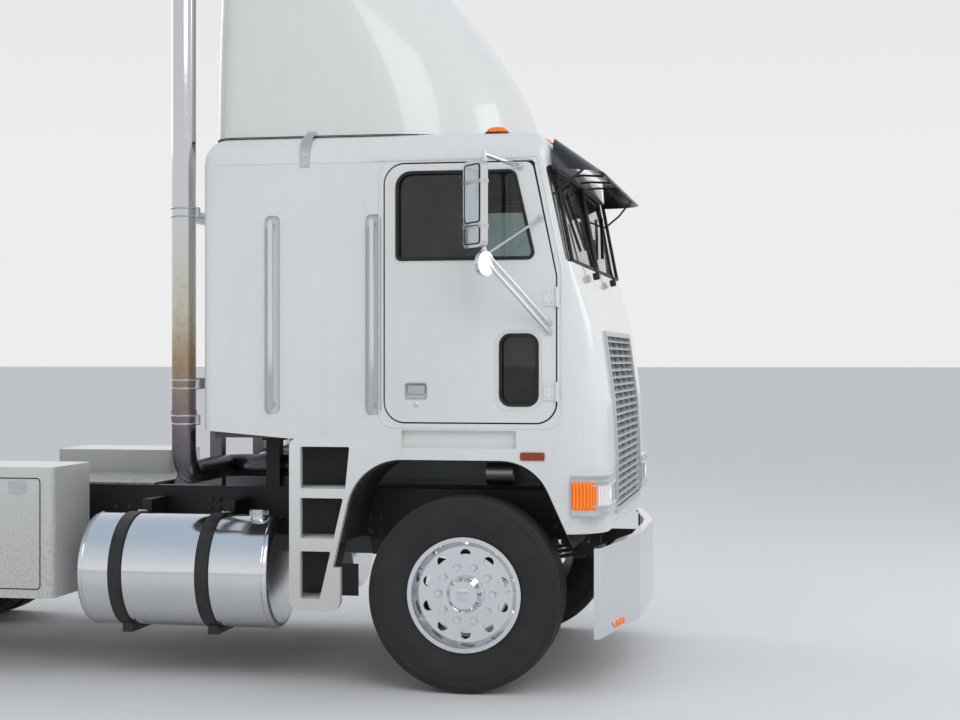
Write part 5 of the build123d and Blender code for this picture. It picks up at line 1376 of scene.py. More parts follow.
mirror_finish = mirror_glass()
for side, sign in SIDES.items():
    glass, frame_ring, bands = Shape(), Shape(), Shape()
    turn = Matrix.Rotation(-sign * MIRROR_TURN, 4, "Z")
    centre = at(MIRROR_PLACE[0], sign * MIRROR_PLACE[1], MIRROR_PLACE[2])

    def on_head(x, y, z):
        return centre + turn @ Vector((x, y, z))

    for low, high in ((-0.090, 0.196), (-0.196, -0.106)):
        outline = oblong(-0.078, 0.078, low, high, 0.018, 5)
        glass.rows([[on_head(x, y, z) for y, z in outline] for x in (-0.018, -0.0205)], caps=True)
        frame_ring.tube([on_head(-0.0195, y, z) for y, z in outline], 0.0042, 6, closed=True)
    for z in (-0.110, 0.110):
        band = oblong(-0.0225, 0.0225, -0.0985, 0.0985, 0.004, 3)
        bands.rows([[on_head(x, y, z + dz) for x, y in band] for dz in (-0.009, 0.009)], caps=True)
    for z in (2.250, 2.705):
        post = at(0.165, sign * 1.462, z)
        bands.disc(post - Vector((0, 0, 0.016)), (0, 0, 1), 0.017, 0.032, 16)
    for x, z in ((0.300, 2.706), (0.448, 1.860), (0.448, 1.906), (0.402, 2.440)):
        bands.disc(at(x, sign * (CAB_SIDE - 0.001), z), (0, sign, 0), 0.019, 0.006, 20)
    piece(f"mirror_panes_{side}", glass, mirror_finish, f"door_{side}")
    piece(f"mirror_frames_{side}", frame_ring, seal_rubber, f"door_{side}")
    piece(f"mirror_bands_{side}", bands, brushed_alloy, f"door_{side}")

stays = Shape()
for side, sign in SIDES.items():
    outer = (0.462, 1.150, 2.560), (0.560, 1.150, 2.640), (0.630, 1.076, 2.712)
    stays.tube(on_side(side, outer), 0.006, 8)
    # The stay in the middle serves both sides, so it is made once
    for out in (0.36, 0.0) if side == "right" else (0.36,):
        stays.tube(on_side(side, [(0.455, out, 2.735), (0.520, out, 2.742), (0.632, out, 2.735)]), 0.006, 8)
piece("visor_stays", stays, seal_rubber, "cab")
print("mirrors and stays made")

# %% [markdown]
# The door has a paddle handle with a bright rim round it, a lock below it, and hinges with screw heads. A
# drip rail runs over the doorway and a cover strip closes the joint between cab and sleeper. Rows of rivets
# hold the skin, all of one kind and at one pitch.

# %% Door furniture, drip rails and seams
RIVET = (0.0042, 0.0008, 10, 0.0016)
RIVET_PITCH = 0.0415
RIVET_ROWS = 34
RIVET_LOW = 1.345

for side, sign in SIDES.items():
    furniture = Shape()
    paddle = oblong(-0.290, -0.200, 1.545, 1.590, 0.010, 4)
    levels = [(CAB_SIDE - 0.015, 1.0), (CAB_SIDE - 0.002, 1.0), (CAB_SIDE + 0.001, 0.93)]
    rows = []
    for out, size in levels:
        shrunk = [(-0.245 + (x + 0.245) * size, out, 1.5675 + (z - 1.5675) * size) for x, z in paddle]
        rows.append(on_side(side, shrunk))
    furniture.rows(rows, caps=True)
    furniture.disc(at(-0.245, sign * (CAB_SIDE - 0.001), 1.490), (0, sign, 0), 0.013, 0.004, 24, 0.002)
    cup = oblong(-0.302, -0.188, 1.518, 1.602, 0.013, 4)
    furniture.tube(on_side(side, [(x, CAB_SIDE + 0.0005, z) for x, z in cup]), 0.0035, 6, closed=True)
    for z in (1.560, 2.040):
        for x in (0.435, 0.462):
            for rise in (-0.028, 0.028):
                furniture.disc(
                    at(x, sign * (CAB_SIDE + 0.008), z + rise), (0, sign, 0), 0.006, 0.001, 16, 0.002
                )
    piece(f"door_furniture_{side}", furniture, chrome, f"door_{side}")

trim = Shape()
rivets = Shape()
for side, sign in SIDES.items():
    gutter = [(-0.468, 2.750), (-0.440, 2.752), (0.330, 2.752), (0.362, 2.742), (0.384, 2.722)]
    trim.tube(on_side(side, [(x, CAB_SIDE + 0.002, z) for x, z in gutter]), 0.005, 8)
    strip = [
        (CAB_SIDE - 0.001, -0.009), (CAB_SIDE + 0.0025, -0.006),
        (CAB_SIDE + 0.0025, 0.006), (CAB_SIDE - 0.001, 0.009),
    ]
    trim.rows(
        [on_side(side, [(-0.740 + dx, out, z) for out, dx in strip]) for z in (1.325, 2.742)], caps=True
    )
    trim.tube(on_side(side, [(x, CAB_SIDE, 2.746) for x in (-1.33, -0.45)]), 0.003, 6)
    # The rear row starts one rivet higher than the front one
    heads = [(-0.722, RIVET_LOW)]
    for i in range(1, RIVET_ROWS):
        heads += [(x, RIVET_LOW + i * RIVET_PITCH) for x in (-0.722, -1.335)]
    heads += [(-1.335 + i * RIVET_PITCH, 2.722) for i in range(21)]
    for x, z in heads:
        rivets.disc(at(x, sign * (CAB_SIDE - 0.0005), z), (0, sign, 0), *RIVET)
piece("cab_trim", trim, cab_paint, "cab")
piece("cab_rivets", rivets, cab_paint, "cab", 60)
print("rivets", rivets.posts)

# %% [markdown]
# Fuel tanks. A tank is rolled from sheet, so it has a weld where each end cap meets the barrel. Steel straps
# hold it, each over a strip of rubber, and close with a long T-bolt. The filler has a knurled cap.

# %% Fuel tank details
TANK_OUT = 0.861
TANK_LOW, TANK_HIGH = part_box("fuel_tanks")
TANK_RADIUS = 0.305
TANK_MIDDLE_Z = 0.575
STRAPS_AT = (-1.410, -1.897)


def hoop(shape, x, sign, radius, thickness, sides=8):
    """A ring round a tank."""
    path = []
    for a in turns(64):
        path.append(at(x, sign * (TANK_OUT + radius * math.cos(a)), TANK_MIDDLE_Z + radius * math.sin(a)))
    shape.tube(path, thickness, sides, closed=True)


welds, strap_rubber, hardware = Shape(), Shape(), Shape()
for side, sign in SIDES.items():
    for x in (TANK_HIGH.x - AXLE_X - 0.034, TANK_LOW.x - AXLE_X + 0.034):
        hoop(welds, x, sign, TANK_RADIUS - 0.0005, 0.004)
    for x in STRAPS_AT:
        for dx in (-0.035, 0.035):
            hoop(strap_rubber, x + dx, sign, TANK_RADIUS + 0.003, 0.0035, sides=6)
        top = at(x, sign * (TANK_OUT - 0.10), TANK_MIDDLE_Z + 0.298)
        hardware.box(top - Vector((0.026, 0.010, 0.012)), top + Vector((0.026, 0.010, 0.014)), 0.004)
        hardware.tube(
            [top + Vector((0, -sign * 0.055, -0.002)), top + Vector((0, sign * 0.055, 0.004))], 0.006, 8
        )
        hardware.bolt(top + Vector((0, sign * 0.040, 0.004)), (0, sign, 0.08), 0.011, 0.011)
    cap = at(-1.170, sign * (TANK_OUT + 0.060), TANK_HIGH.z)
    hardware.disc(cap - Vector((0, 0, 0.030)), (0, 0, 1), 0.0505, 0.026, 40)
    for a in turns(20):
        place = cap + Vector((0.0500 * math.cos(a), 0.0500 * math.sin(a), -0.028))
        hardware.tube([place, place + Vector((0, 0, 0.022))], 0.0024, 5)
piece("tank_welds", welds, polished_alloy, "chassis")
piece("strap_rubber", strap_rubber, seal_rubber, "chassis")
piece("tank_hardware", hardware, brushed_alloy, "chassis")
print("tank from", round(TANK_LOW.x, 2), "to", round(TANK_HIGH.x, 2))

# %% [markdown]
# Exhaust, side boxes and frame. Pipes are joined by band clamps with a bolt, boxes have a door with a seam
# and two latches, and every bracket on the rails hangs on a pattern of flanged bolts. Bolts come in rows, so
# a short list of places with a count is enough to set out all of them.

# %% Clamps, latches and frame bolts
STACK_PLACE = (-1.550, 1.045)
clamps = Shape()
for sign in SIDES.values():
    x, out = STACK_PLACE
    for z in (1.400, 1.590, 2.510):
        for dz in (-0.022, 0.022):
            ring = [(x + 0.067 * math.cos(a), sign * out + 0.067 * math.sin(a), z + dz) for a in turns(32)]
            clamps.tube(route(*ring), 0.0055, 6, closed=True)
        clamps.box(
            at(x + 0.064, sign * out - 0.010, z - 0.028), at(x + 0.090, sign * out + 0.010, z + 0.028), 0.003
        )
        clamps.bolt(at(x + 0.078, sign * out + 0.010, z), (0, 1, 0), 0.008, 0.010)
piece("stack_clamps", clamps, brushed_alloy, "chassis")

latches, seams = Shape(), Shape()
BOX_LOW, BOX_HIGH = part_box("side_boxes")
for side, sign in SIDES.items():
    front, rear = BOX_HIGH.x - AXLE_X, BOX_LOW.x - AXLE_X
    door = oblong(rear + 0.07, front - 0.07, BOX_LOW.z + 0.05, BOX_HIGH.z - 0.06, 0.02, 6)
    seams.tube(on_side(side, [(x, BOX_HIGH.y + 0.0005, z) for x, z in door]), 0.003, 6, closed=True)
    for share in (0.25, 0.75):
        x = rear + (front - rear) * share
        z = BOX_HIGH.z - 0.11
        plate = oblong(x - 0.05, x + 0.05, z - 0.035, z + 0.035, 0.012, 4)
        faces = [BOX_HIGH.y - 0.001, BOX_HIGH.y + 0.003]
        latches.rows([on_side(side, [(a, out, b) for a, b in plate]) for out in faces], caps=True)
        bar = [(x + dx, BOX_HIGH.y + 0.006, z - 0.012) for dx in (-0.03, 0.03)]
        latches.tube(on_side(side, bar), 0.005, 8)
piece("box_latches", latches, chrome, "chassis")
piece("box_seams", seams, seal_rubber, "chassis")

bolts = Shape()
RAIL_OUT = 0.432
# Each group: the place of its middle as x and z, how many bolts along and up, and their pitch each way
BOLT_GROUPS = [
    (0.330, 0.80, 2, 3, 0.09, 0.07), (-2.150, 0.80, 2, 3, 0.09, 0.07), (-3.150, 0.80, 2, 3, 0.09, 0.07),
    (-5.300, 0.80, 2, 3, 0.09, 0.07), (-4.380, 0.84, 6, 2, 0.11, 0.09), (-1.590, 0.90, 2, 2, 0.05, 0.05),
    (0.470, 0.79, 3, 3, 0.05, 0.07), (-0.640, 0.80, 2, 2, 0.06, 0.08),
]
for sign in SIDES.values():
    for x, z, along, up, pitch_x, pitch_z in BOLT_GROUPS:
        for i in range(along):
            for k in range(up):
                ahead = x + (i - (along - 1) / 2) * pitch_x
                place = at(ahead, sign * RAIL_OUT, z + (k - (up - 1) / 2) * pitch_z)
                bolts.disc(place, (0, sign, 0), 0.015, 0.003, 16)
                bolts.bolt(place + Vector((0, sign * 0.003, 0)), (0, sign, 0), 0.0115, 0.010)
piece("frame_bolts", bolts, cast_iron, "chassis")
print("frame bolts", bolts.posts // 2)

# %% [markdown]
# Fifth wheel, steps and mudflaps. The coupling plate is opened by a pull handle at its right side, and bolts
# hold its brackets to the frame. The steps carry a strip of open grating, so that a wet boot doesn't slip,
# and each flap hangs from a bar with a row of bolts.

# %% Coupling, step grips and flap bolts
PLATE_X = -4.300
HANDLE = (PLATE_X + 0.13, -0.452, 1.142)
handle = Shape()
handle.tube(route((PLATE_X + 0.10, -0.36, 1.150), (PLATE_X + 0.10, -0.43, 1.145), HANDLE), 0.009, 8)
grip = [
    (HANDLE[0] + 0.03 * math.cos(a), HANDLE[1], HANDLE[2] - 0.012 + 0.02 * math.sin(a))
    for a in turns(12)
]
handle.tube(route(*grip), 0.005, 6, closed=True)
piece("release_handle", handle, frame_black, "fifth_wheel")
base_bolts = Shape()
for sign in SIDES.values():
    for x in (-0.24, -0.12, 0.12, 0.24):
        base_bolts.disc(at(PLATE_X + x, sign * 0.410, 1.014), (0, 0, 1), 0.018, 0.003, 16)
        base_bolts.bolt(at(PLATE_X + x, sign * 0.410, 1.017), (0, 0, 1), 0.014, 0.012)
piece("base_bolts", base_bolts, cast_iron, "chassis")

grips = Shape()
TREAD_REAR = -0.895
GRATE_PITCH = 0.03
for sign in SIDES.values():
    for z, front in ((1.050, -0.640), (0.790, -0.700), (0.476, -0.770)):
        for i in range(5):
            out = CAB_SIDE - 0.050 - 0.028 * i
            grips.box(
                at(TREAD_REAR, sign * (out - 0.003), z - 0.001), at(front, sign * (out + 0.003), z + 0.006)
            )
        for i in range(int((front - TREAD_REAR) / GRATE_PITCH)):
            x = TREAD_REAR + 0.005 + i * GRATE_PITCH
            grips.box(
                at(x, sign * (CAB_SIDE - 0.185), z - 0.001),
                at(x + 0.005, sign * (CAB_SIDE - 0.044), z + 0.003),
            )
piece("step_grips", grips, brushed_alloy, "cab")

flap_bolts = Shape()
FLAP_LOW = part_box("mudflaps")[0]
for sign in SIDES.values():
    for i in range(5):
        y = sign * (0.66 + 0.12 * i)
        flap_bolts.bolt(Vector((FLAP_LOW.x + 0.008, y, 0.920)), (-1, 0, 0), 0.010, 0.006)
        flap_bolts.bolt(Vector((FLAP_LOW.x + 0.026, y, 0.920)), (1, 0, 0), 0.010, 0.007)
    flap_bolts.box((FLAP_LOW.x + 0.008, sign * 0.62, 0.900), (FLAP_LOW.x + 0.014, sign * 1.19, 0.940))
piece("flap_bolts", flap_bolts, strap_metal, "chassis")
print("steps, coupling and flaps done")

# %% [markdown]
# The dashboard shows through the glass, so it gets what a driver would miss: a binnacle with round gauges, a
# row of switches and vents. A gauge is a dark disc in a bright ring, with pale marks round its edge and a
# needle that starts at its hub.

# %% Dashboard
def gauge_face():
    f = Finish("gauge_face")
    haze = f.step(f.noise(30, 4), 0.4, 0.8)
    return f.shaded({
        "Base Color": f.mix((0.010, 0.010, 0.012), (0.03, 0.03, 0.032), haze),
        "Roughness": haze * 0.15 + 0.12,
        "Coat Weight": 0.6,
    })


gauges, rings, vents, marks, needles = (Shape() for _ in range(5))
DASH_LEAN = 0.1875
# Each gauge: its distance from the truck's middle, its radius and its height
GAUGES = [
    (0.70, 0.055, 2.02), (0.91, 0.055, 2.02), (0.805, 0.040, 2.045), (0.60, 0.030, 2.00), (1.01, 0.030, 2.00)
]


def on_dash(out, z, lift=0.0):
    """A point on the dashboard's leaning face, lifted towards the driver."""
    return at(0.300 + DASH_LEAN * (z - 1.960) - lift, out, z)


def on_gauge(out, z, reach, degrees, lift):
    """A point at a distance of reach from a gauge's middle, at an angle as the driver sees it."""
    a = math.radians(degrees)
    return on_dash(out - reach * math.cos(a), z + reach * math.sin(a), lift)


for out, radius, z in GAUGES:
    place = on_dash(out, z, -0.002)
    gauges.disc(place, (-1, 0, DASH_LEAN), radius, 0.005, 32)
    ring = [p + Vector((DASH_LEAN * (p.z - z) - 0.003, 0, 0)) for p in circle(place, radius)]
    rings.tube(ring, 0.004, 6, closed=True)
    for k in range(11):
        marks.tube(
            [on_gauge(out, z, share * radius, 225 - 27 * k, 0.0035) for share in (0.68, 0.86)], 0.0013, 4
        )
    tip = on_gauge(out, z, 0.7 * radius, 225 - 180 * radius / 0.055, 0.0045)
    needles.tube([on_dash(out, z, 0.0045), tip], 0.0013, 4)
    needles.disc(on_dash(out, z, 0.002), (-1, 0, DASH_LEAN), 0.005, 0.005, 12)
for out in (-0.95, -0.35, 0.35):
    for z in (1.985, 2.001, 2.017, 2.033, 2.049):
        vents.box(on_dash(out - 0.07, z, 0.007), on_dash(out + 0.07, z + 0.006, -0.02))
    for edge in (out - 0.074, out + 0.074):
        vents.box(on_dash(edge - 0.004, 1.980, 0.008), on_dash(edge + 0.004, 2.060, -0.02))
for k in range(7):
    vents.box(on_dash(0.46 + k * 0.014, 1.975, 0.007), on_dash(0.470 + k * 0.014, 1.992, -0.02), 0.001)
piece("gauges", gauges, gauge_face(), "cab")
piece("gauge_rings", rings, chrome, "cab")
piece("gauge_marks", marks, moulded_trim("gauge_marks", (0.66, 0.66, 0.62)), "cab")
piece("gauge_needles", needles, moulded_trim("needle_orange", (0.62, 0.13, 0.02)), "cab")
piece("vents", vents, dash_trim, "cab")
print("dashboard dressed")

# %% [markdown]
# Cushions. A seat cushion is a bag under pressure: its faces crown, and its sides pull in between the
# corners. Nothing shows that as well as a cloth simulation, and a small one is enough. A plain block of the
# cushion's size is remeshed into even squares, blown up by a few steps of cloth with pressure, and held back
# so that no point moves further than the stuffing would. The block starts a little small, because it swells.
# The face that rests on the seat's frame is pinned, so it stays flat.

# %% The maker of cushions
SIM_STEPS = 20
scene = bpy.context.scene


def block_of(outline, radii, start, end, rounding):
    """A side outline of (x, z) pushed from y = start to end, drawn in over a rounded rim at both ends."""
    steps = 5
    cx = sum(x for x, _ in outline) / len(outline)
    cz = sum(z for _, z in outline) / len(outline)
    wide = max(x for x, _ in outline) - min(x for x, _ in outline)
    tall = max(z for _, z in outline) - min(z for _, z in outline)
    side = rounded(outline, radii, steps)
    quarter = [math.pi / 2 * k / steps for k in range(steps + 1)]
    stops = [(start + rounding * (1 - math.sin(t)), rounding * (1 - math.cos(t))) for t in reversed(quarter)]
    stops += [(end - rounding * (1 - math.sin(t)), rounding * (1 - math.cos(t))) for t in quarter]
    rows = []
    for y, inset in stops:
        kx, kz = 1 - 2 * inset / wide, 1 - 2 * inset / tall
        rows.append([at(cx + (x - cx) * kx, y, cz + (z - cz) * kz) for x, z in side])
    return Shape().rows(rows, caps=True)


def inflated(made, limit, pinned):
    """Runs the cloth and moves each point of made by what it did, up to limit."""
    rest = [v.co.copy() for v in made.data.vertices]
    held = made.vertex_groups.new(name="held")
    held.add([i for i, co in enumerate(rest) if pinned(co)], 1.0, "REPLACE")
    cloth_sim = made.modifiers.new("swell", "CLOTH")
    cloth_sim.settings.use_pressure = True
    cloth_sim.settings.uniform_pressure_force = 4.0
    cloth_sim.settings.vertex_group_mass = "held"
    cloth_sim.settings.effector_weights.gravity = 0.0
    cloth_sim.point_cache.frame_start = 1
    cloth_sim.point_cache.frame_end = SIM_STEPS
    for step in range(1, SIM_STEPS + 1):
        scene.frame_set(step)
    ready = made.evaluated_get(bpy.context.evaluated_depsgraph_get())
    swollen = [v.co.copy() for v in ready.data.vertices]
    made.modifiers.remove(cloth_sim)
    scene.frame_set(1)
    for vertex, before, after in zip(made.data.vertices, rest, swollen):
        move = after - before
        if move.length > limit:
            move = move.normalized() * limit
        vertex.co = before + move


def cushion(name, shape, finish, voxel, limit, pinned, channels):
    """A block becomes a stuffed piece. channels gives how deep the stitching sinks at a point."""
    made = piece(name, shape, finish, "cab", 80)
    remesh = made.modifiers.new("even", "REMESH")
    remesh.mode = "VOXEL"
    remesh.voxel_size = voxel
    even = baked(made, name)
    made.modifiers.clear()
    made.data = even
    inflated(made, limit, pinned)
    made.modifiers.new("smooth", "SUBSURF").levels = 1
    made.modifiers["smooth"].render_levels = 1
    made.data = baked(made, name)
    made.modifiers.clear()
    normals = [v.normal.copy() for v in made.data.vertices]
    for vertex, normal in zip(made.data.vertices, normals):
        vertex.co -= normal * channels(vertex.co, normal)
    if not made.data.materials:
        made.data.materials.append(finish)
    made.data.shade_smooth()
    return made


def groove(distance, depth, half=0.009):
    """The depth of a stitched channel at a distance from its line."""
    return depth * math.exp(-((distance / half) ** 2))


def fade(*rises):
    """1 well inside an edge and 0 at it, for each (distance inside the edge, width of the rise)."""
    return min(1.0, *(max(0.0, inside / width) for inside, width in rises))


def surface_of(made):
    points = [v.co for v in made.data.vertices]
    return BVHTree.FromPolygons(points, [tuple(p.vertices) for p in made.data.polygons])


def laid_on(tree, points, direction):
    """Points dropped along direction onto a cushion, each sunk in by a millimetre."""
    along = Vector(direction).normalized()
    found = []
    for point in points:
        place, _, _, _ = tree.ray_cast(point - along * 1.0, along)
        found.append(place + along * 0.001 if place else point)
    return found


print("cushion maker ready")

# %% [markdown]
# Each seat has three soft parts: the cushion, the back and a roll at its top for the head. They are covered
# in cloth with lengthwise channels, and a piping cord runs round each face where the cover's panels are sewn
# together. The cord is laid on after the cushion has swollen: points are dropped onto it from outside.

# %% Seats
SEAT_OUT = 0.805
SEAT_HALF = 0.255
CHANNELS = (-0.12, -0.04, 0.04, 0.12)
CUSHION = [(-0.488, 1.646), (-0.015, 1.646), (0.008, 1.700), (-0.008, 1.758), (-0.488, 1.730)]
CUSHION_R = [0.012, 0.025, 0.020, 0.030, 0.012]
BACK = [(-0.497, 1.720), (-0.392, 1.735), (-0.462, 2.255), (-0.556, 2.255), (-0.626, 1.755)]
BACK_R = [0.015, 0.020, 0.030, 0.030, 0.020]
HEAD = [(-0.468, 2.272), (-0.478, 2.418), (-0.548, 2.418), (-0.556, 2.272)]
HEAD_R = [0.025, 0.035, 0.035, 0.025]

soft_pieces = []
for side, sign in SIDES.items():
    middle = sign * SEAT_OUT
    low, high = middle - SEAT_HALF + 0.008, middle + SEAT_HALF - 0.008

    def lines(co):
        return sum(groove(co.y - middle - line, 0.007) for line in CHANNELS)

    def seat_channels(co, normal):
        sides = fade((SEAT_HALF - 0.05 - abs(co.y - middle), 0.02))
        ends = fade((co.x - (AXLE_X - 0.44), 0.03), (AXLE_X - 0.06 - co.x, 0.03))
        return lines(co) * sides * ends if normal.z >= 0.5 else 0.0

    def back_channels(co, normal):
        return lines(co) * fade((co.z - 1.80, 0.04), (2.20 - co.z, 0.04)) if normal.x >= 0.4 else 0.0

    block = block_of(CUSHION, CUSHION_R, low, high, 0.030)
    made = cushion(
        f"seat_cushion_{side}", block, seat_cloth, 0.013, 0.010, lambda co: co.z < 1.650, seat_channels
    )
    soft_pieces.append(made)
    on_seat = oblong(-0.47, -0.02, low + 0.03, high - 0.03, 0.04)
    cord = Shape()
    cord.tube(
        laid_on(surface_of(made), [at(x, y, 2.2) for x, y in on_seat], (0, 0, -1)), 0.0045, 6, closed=True
    )
    block = block_of(BACK, BACK_R, low + 0.004, high - 0.004, 0.035)
    resting = AXLE_X - 0.60
    back = cushion(
        f"seat_back_{side}", block, seat_cloth, 0.013, 0.010, lambda co: co.x < resting, back_channels
    )
    on_back = rounded(
        [(low + 0.035, 1.79), (high - 0.035, 1.79), (high - 0.045, 2.22), (low + 0.045, 2.22)], [0.04] * 4, 6
    )
    cord.tube(
        laid_on(surface_of(back), [at(0.3, y, z) for y, z in on_back], (-1, 0, 0)), 0.0045, 6, closed=True
    )
    block = block_of(HEAD, HEAD_R, middle - 0.135, middle + 0.135, 0.035)
    head = cushion(
        f"head_roll_{side}", block, seat_cloth, 0.011, 0.008, lambda co: False, lambda co, normal: 0.0
    )
    soft_pieces += [back, head]
    piece(f"seat_piping_{side}", cord, dash_trim, "cab", 60)

    base = Shape()
    rows = []
    for k in range(9):
        z = 1.375 + k * 0.024
        swell = 0.0 if k % 2 else -0.028
        half = 0.190 + swell
        outline = oblong(-0.450 - swell, -0.070 + swell, middle - half, middle + half, 0.05, 5)
        rows.append([at(x, y, z) for x, y in outline])
    base.rows(rows, caps=True)
    base.box(at(-0.475, middle - 0.215, 1.585), at(-0.035, middle + 0.215, 1.640), 0.012)
    base.box(at(-0.465, middle - 0.205, 1.3552), at(-0.055, middle + 0.205, 1.380), 0.006)
    for out in (-0.062, 0.062):
        base.tube([at(-0.512, middle + out, 2.235), at(-0.515, middle + out, 2.300)], 0.007, 8)
    for out in (-0.235, 0.235):
        y = middle + out * 0.94
        base.tube(route((-0.520, y, 1.600), (-0.560, y, 1.690), (-0.585, y, 1.790)), 0.012, 8)
    made = piece(f"seat_base_{side}", base, dash_trim, "cab")
    if side == "right":
        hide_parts("seats")
print("soft pieces", len(soft_pieces), "faces", sum(len(o.data.polygons) for o in soft_pieces))

# %% [markdown]
# The bunk's mattress is quilted across in broad channels, and a piping cord runs round its top. It is large
# and flat, so coarser squares do for it.

# %% Bunk
BUNK_LOW, BUNK_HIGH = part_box("bunk")
QUILT_PITCH = 0.158
bunk_x = (BUNK_LOW.x - AXLE_X, BUNK_HIGH.x - AXLE_X)
mattress = [
    (bunk_x[0] + 0.010, BUNK_LOW.z + 0.002), (bunk_x[1] - 0.010, BUNK_LOW.z + 0.002),
    (bunk_x[1] - 0.010, BUNK_HIGH.z - 0.014), (bunk_x[0] + 0.010, BUNK_HIGH.z - 0.014),
]


def quilting(co, normal):
    if abs(normal.z) < 0.6 or co.z < BUNK_LOW.z + 0.05:
        return 0.0
    ends = fade((co.x - BUNK_LOW.x - 0.05, 0.04), (BUNK_HIGH.x - 0.05 - co.x, 0.04))
    return ends * sum(groove(co.y - QUILT_PITCH * k, 0.009, 0.014) for k in range(-6, 7))


block = block_of(mattress, [0.02, 0.02, 0.04, 0.04], BUNK_LOW.y + 0.010, BUNK_HIGH.y - 0.010, 0.045)
resting = BUNK_LOW.z + 0.010
made = cushion("mattress", block, bunk_cloth, 0.022, 0.010, lambda co: co.z < resting, quilting)
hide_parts("bunk")
bunk_cord = Shape()
rim = oblong(bunk_x[0] + 0.040, bunk_x[1] - 0.040, BUNK_LOW.y + 0.040, BUNK_HIGH.y - 0.040, 0.05)
dense = []
for i, (x, y) in enumerate(rim):
    nx, ny = rim[(i + 1) % len(rim)]
    count = max(1, round(math.hypot(nx - x, ny - y) / 0.03))
    dense += [(x + (nx - x) * k / count, y + (ny - y) * k / count) for k in range(count)]
bunk_cord.tube(
    laid_on(surface_of(made), [at(x, y, 2.4) for x, y in dense], (0, 0, -1)), 0.005, 6, closed=True
)
piece("mattress_piping", bunk_cord, dash_trim, "cab", 60)
print("mattress faces", len(made.data.polygons))

# %% [markdown]
# Door cards. The inside of a door is a padded panel with an armrest, a pull to shut it, a window crank and a
# pocket along its foot. They only show when the door stands open, and then they are in full view.

# %% Door cards
CARD_IN = 1.118
CARD = [(-0.350, 1.460), (0.160, 1.460), (0.160, 1.890), (0.340, 1.890), (0.340, 2.200), (-0.350, 2.200)]
CARD_R = [0.04, 0.04, 0.02, 0.04, 0.04, 0.04]
# Each pad: rear and foot, then front, how far it stands in and its top, then its rounding
PADS = [
    (-0.290, 1.640, 0.100, CARD_IN - 0.014, 1.860, 0.010),
    (-0.290, 1.925, 0.080, 1.068, 1.965, 0.012),
    (-0.320, 1.480, 0.120, 1.086, 1.590, 0.010),
]
card_cloth = cloth("card_cloth", (0.20, 0.19, 0.17), (0.24, 0.225, 0.2), 0.004)
for side, sign in SIDES.items():
    card, pads, chromed = Shape(), Shape(), Shape()
    outline = rounded(CARD, CARD_R, 5)
    faces = [CARD_IN + 0.001, CARD_IN - 0.005]
    card.rows([on_side(side, [(x, out, z) for x, z in outline]) for out in faces], caps=True)
    for rear, foot, front, inner, top, bevel in PADS:
        pads.box(at(rear, sign * (CARD_IN - 0.003), foot), at(front, sign * inner, top), bevel)
    ends = CARD_IN - 0.004
    pull = [(x, out, 2.035) for x, out in ((-0.240, ends), (-0.225, 1.085), (-0.090, 1.085), (-0.075, ends))]
    chromed.tube(on_side(side, pull), 0.008, 10)
    chromed.disc(at(0.230, sign * (CARD_IN - 0.004), 2.020), (0, -sign, 0), 0.024, 0.010, 24)
    crank = [(0.230, 1.102, 2.020), (0.180, 1.096, 1.985), (0.150, 1.094, 1.955)]
    chromed.tube(on_side(side, crank), 0.0055, 8)
    pads.disc(at(0.150, sign * 1.096, 1.955), (0, -sign, 0), 0.013, 0.020, 20, 0.004)
    piece(f"door_card_{side}", card, card_cloth, f"door_{side}")
    piece(f"door_pads_{side}", pads, dash_trim, f"door_{side}")
    piece(f"door_cranks_{side}", chromed, chrome, f"door_{side}")
print("door cards", len(SIDES))

# %% [markdown]
# The engine shows when the cab is tilted. The frame gives its block, cover and sump as plain castings, and
# the small parts make an engine of them: ribs and bolts on the cover, a manifold with its turbocharger on the
# right, the air inlet and filters on the left, belts in front and a hose over the fan to the radiator.

# %% Engine details
ENGINE_SIDE = 0.235
PORTS = [-0.980 + 0.200 * k for k in range(6)]
PORT_Z = 1.290
MANIFOLD_Y = -0.325
TURBO_Y, TURBO_Z = -0.350, 1.450
dressing, iron, alloy, hoses, engine_bolts = (Shape() for _ in range(5))

dressing.box(at(-1.100, -0.192, 1.359), at(0.210, 0.192, 1.380), 0.005)
rib = [(-0.177, 1.370), (0.177, 1.370), (0.177, 1.504), (0.094, 1.567), (-0.094, 1.567), (-0.177, 1.504)]
for x in PORTS:
    dressing.slab(rib, AXLE_X + x + 0.090, AXLE_X + x + 0.108)
for x in [-1.075 + 0.115 * k for k in range(12)]:
    for sign in SIDES.values():
        engine_bolts.bolt(at(x, sign * 0.184, 1.380), (0, 0, 1), 0.009, 0.010)
dressing.box(at(0.259, -0.205, 0.735), at(0.276, 0.205, 1.345), 0.006)
for z in (0.780, 0.960, 1.140, 1.310):
    for sign in SIDES.values():
        engine_bolts.bolt(at(0.276, sign * 0.180, z), (1, 0, 0), 0.009, 0.009)
for z in (1.030, 1.212):
    dressing.box(at(-1.149, -ENGINE_SIDE - 0.004, z), at(0.259, ENGINE_SIDE + 0.004, z + 0.012), 0.002)

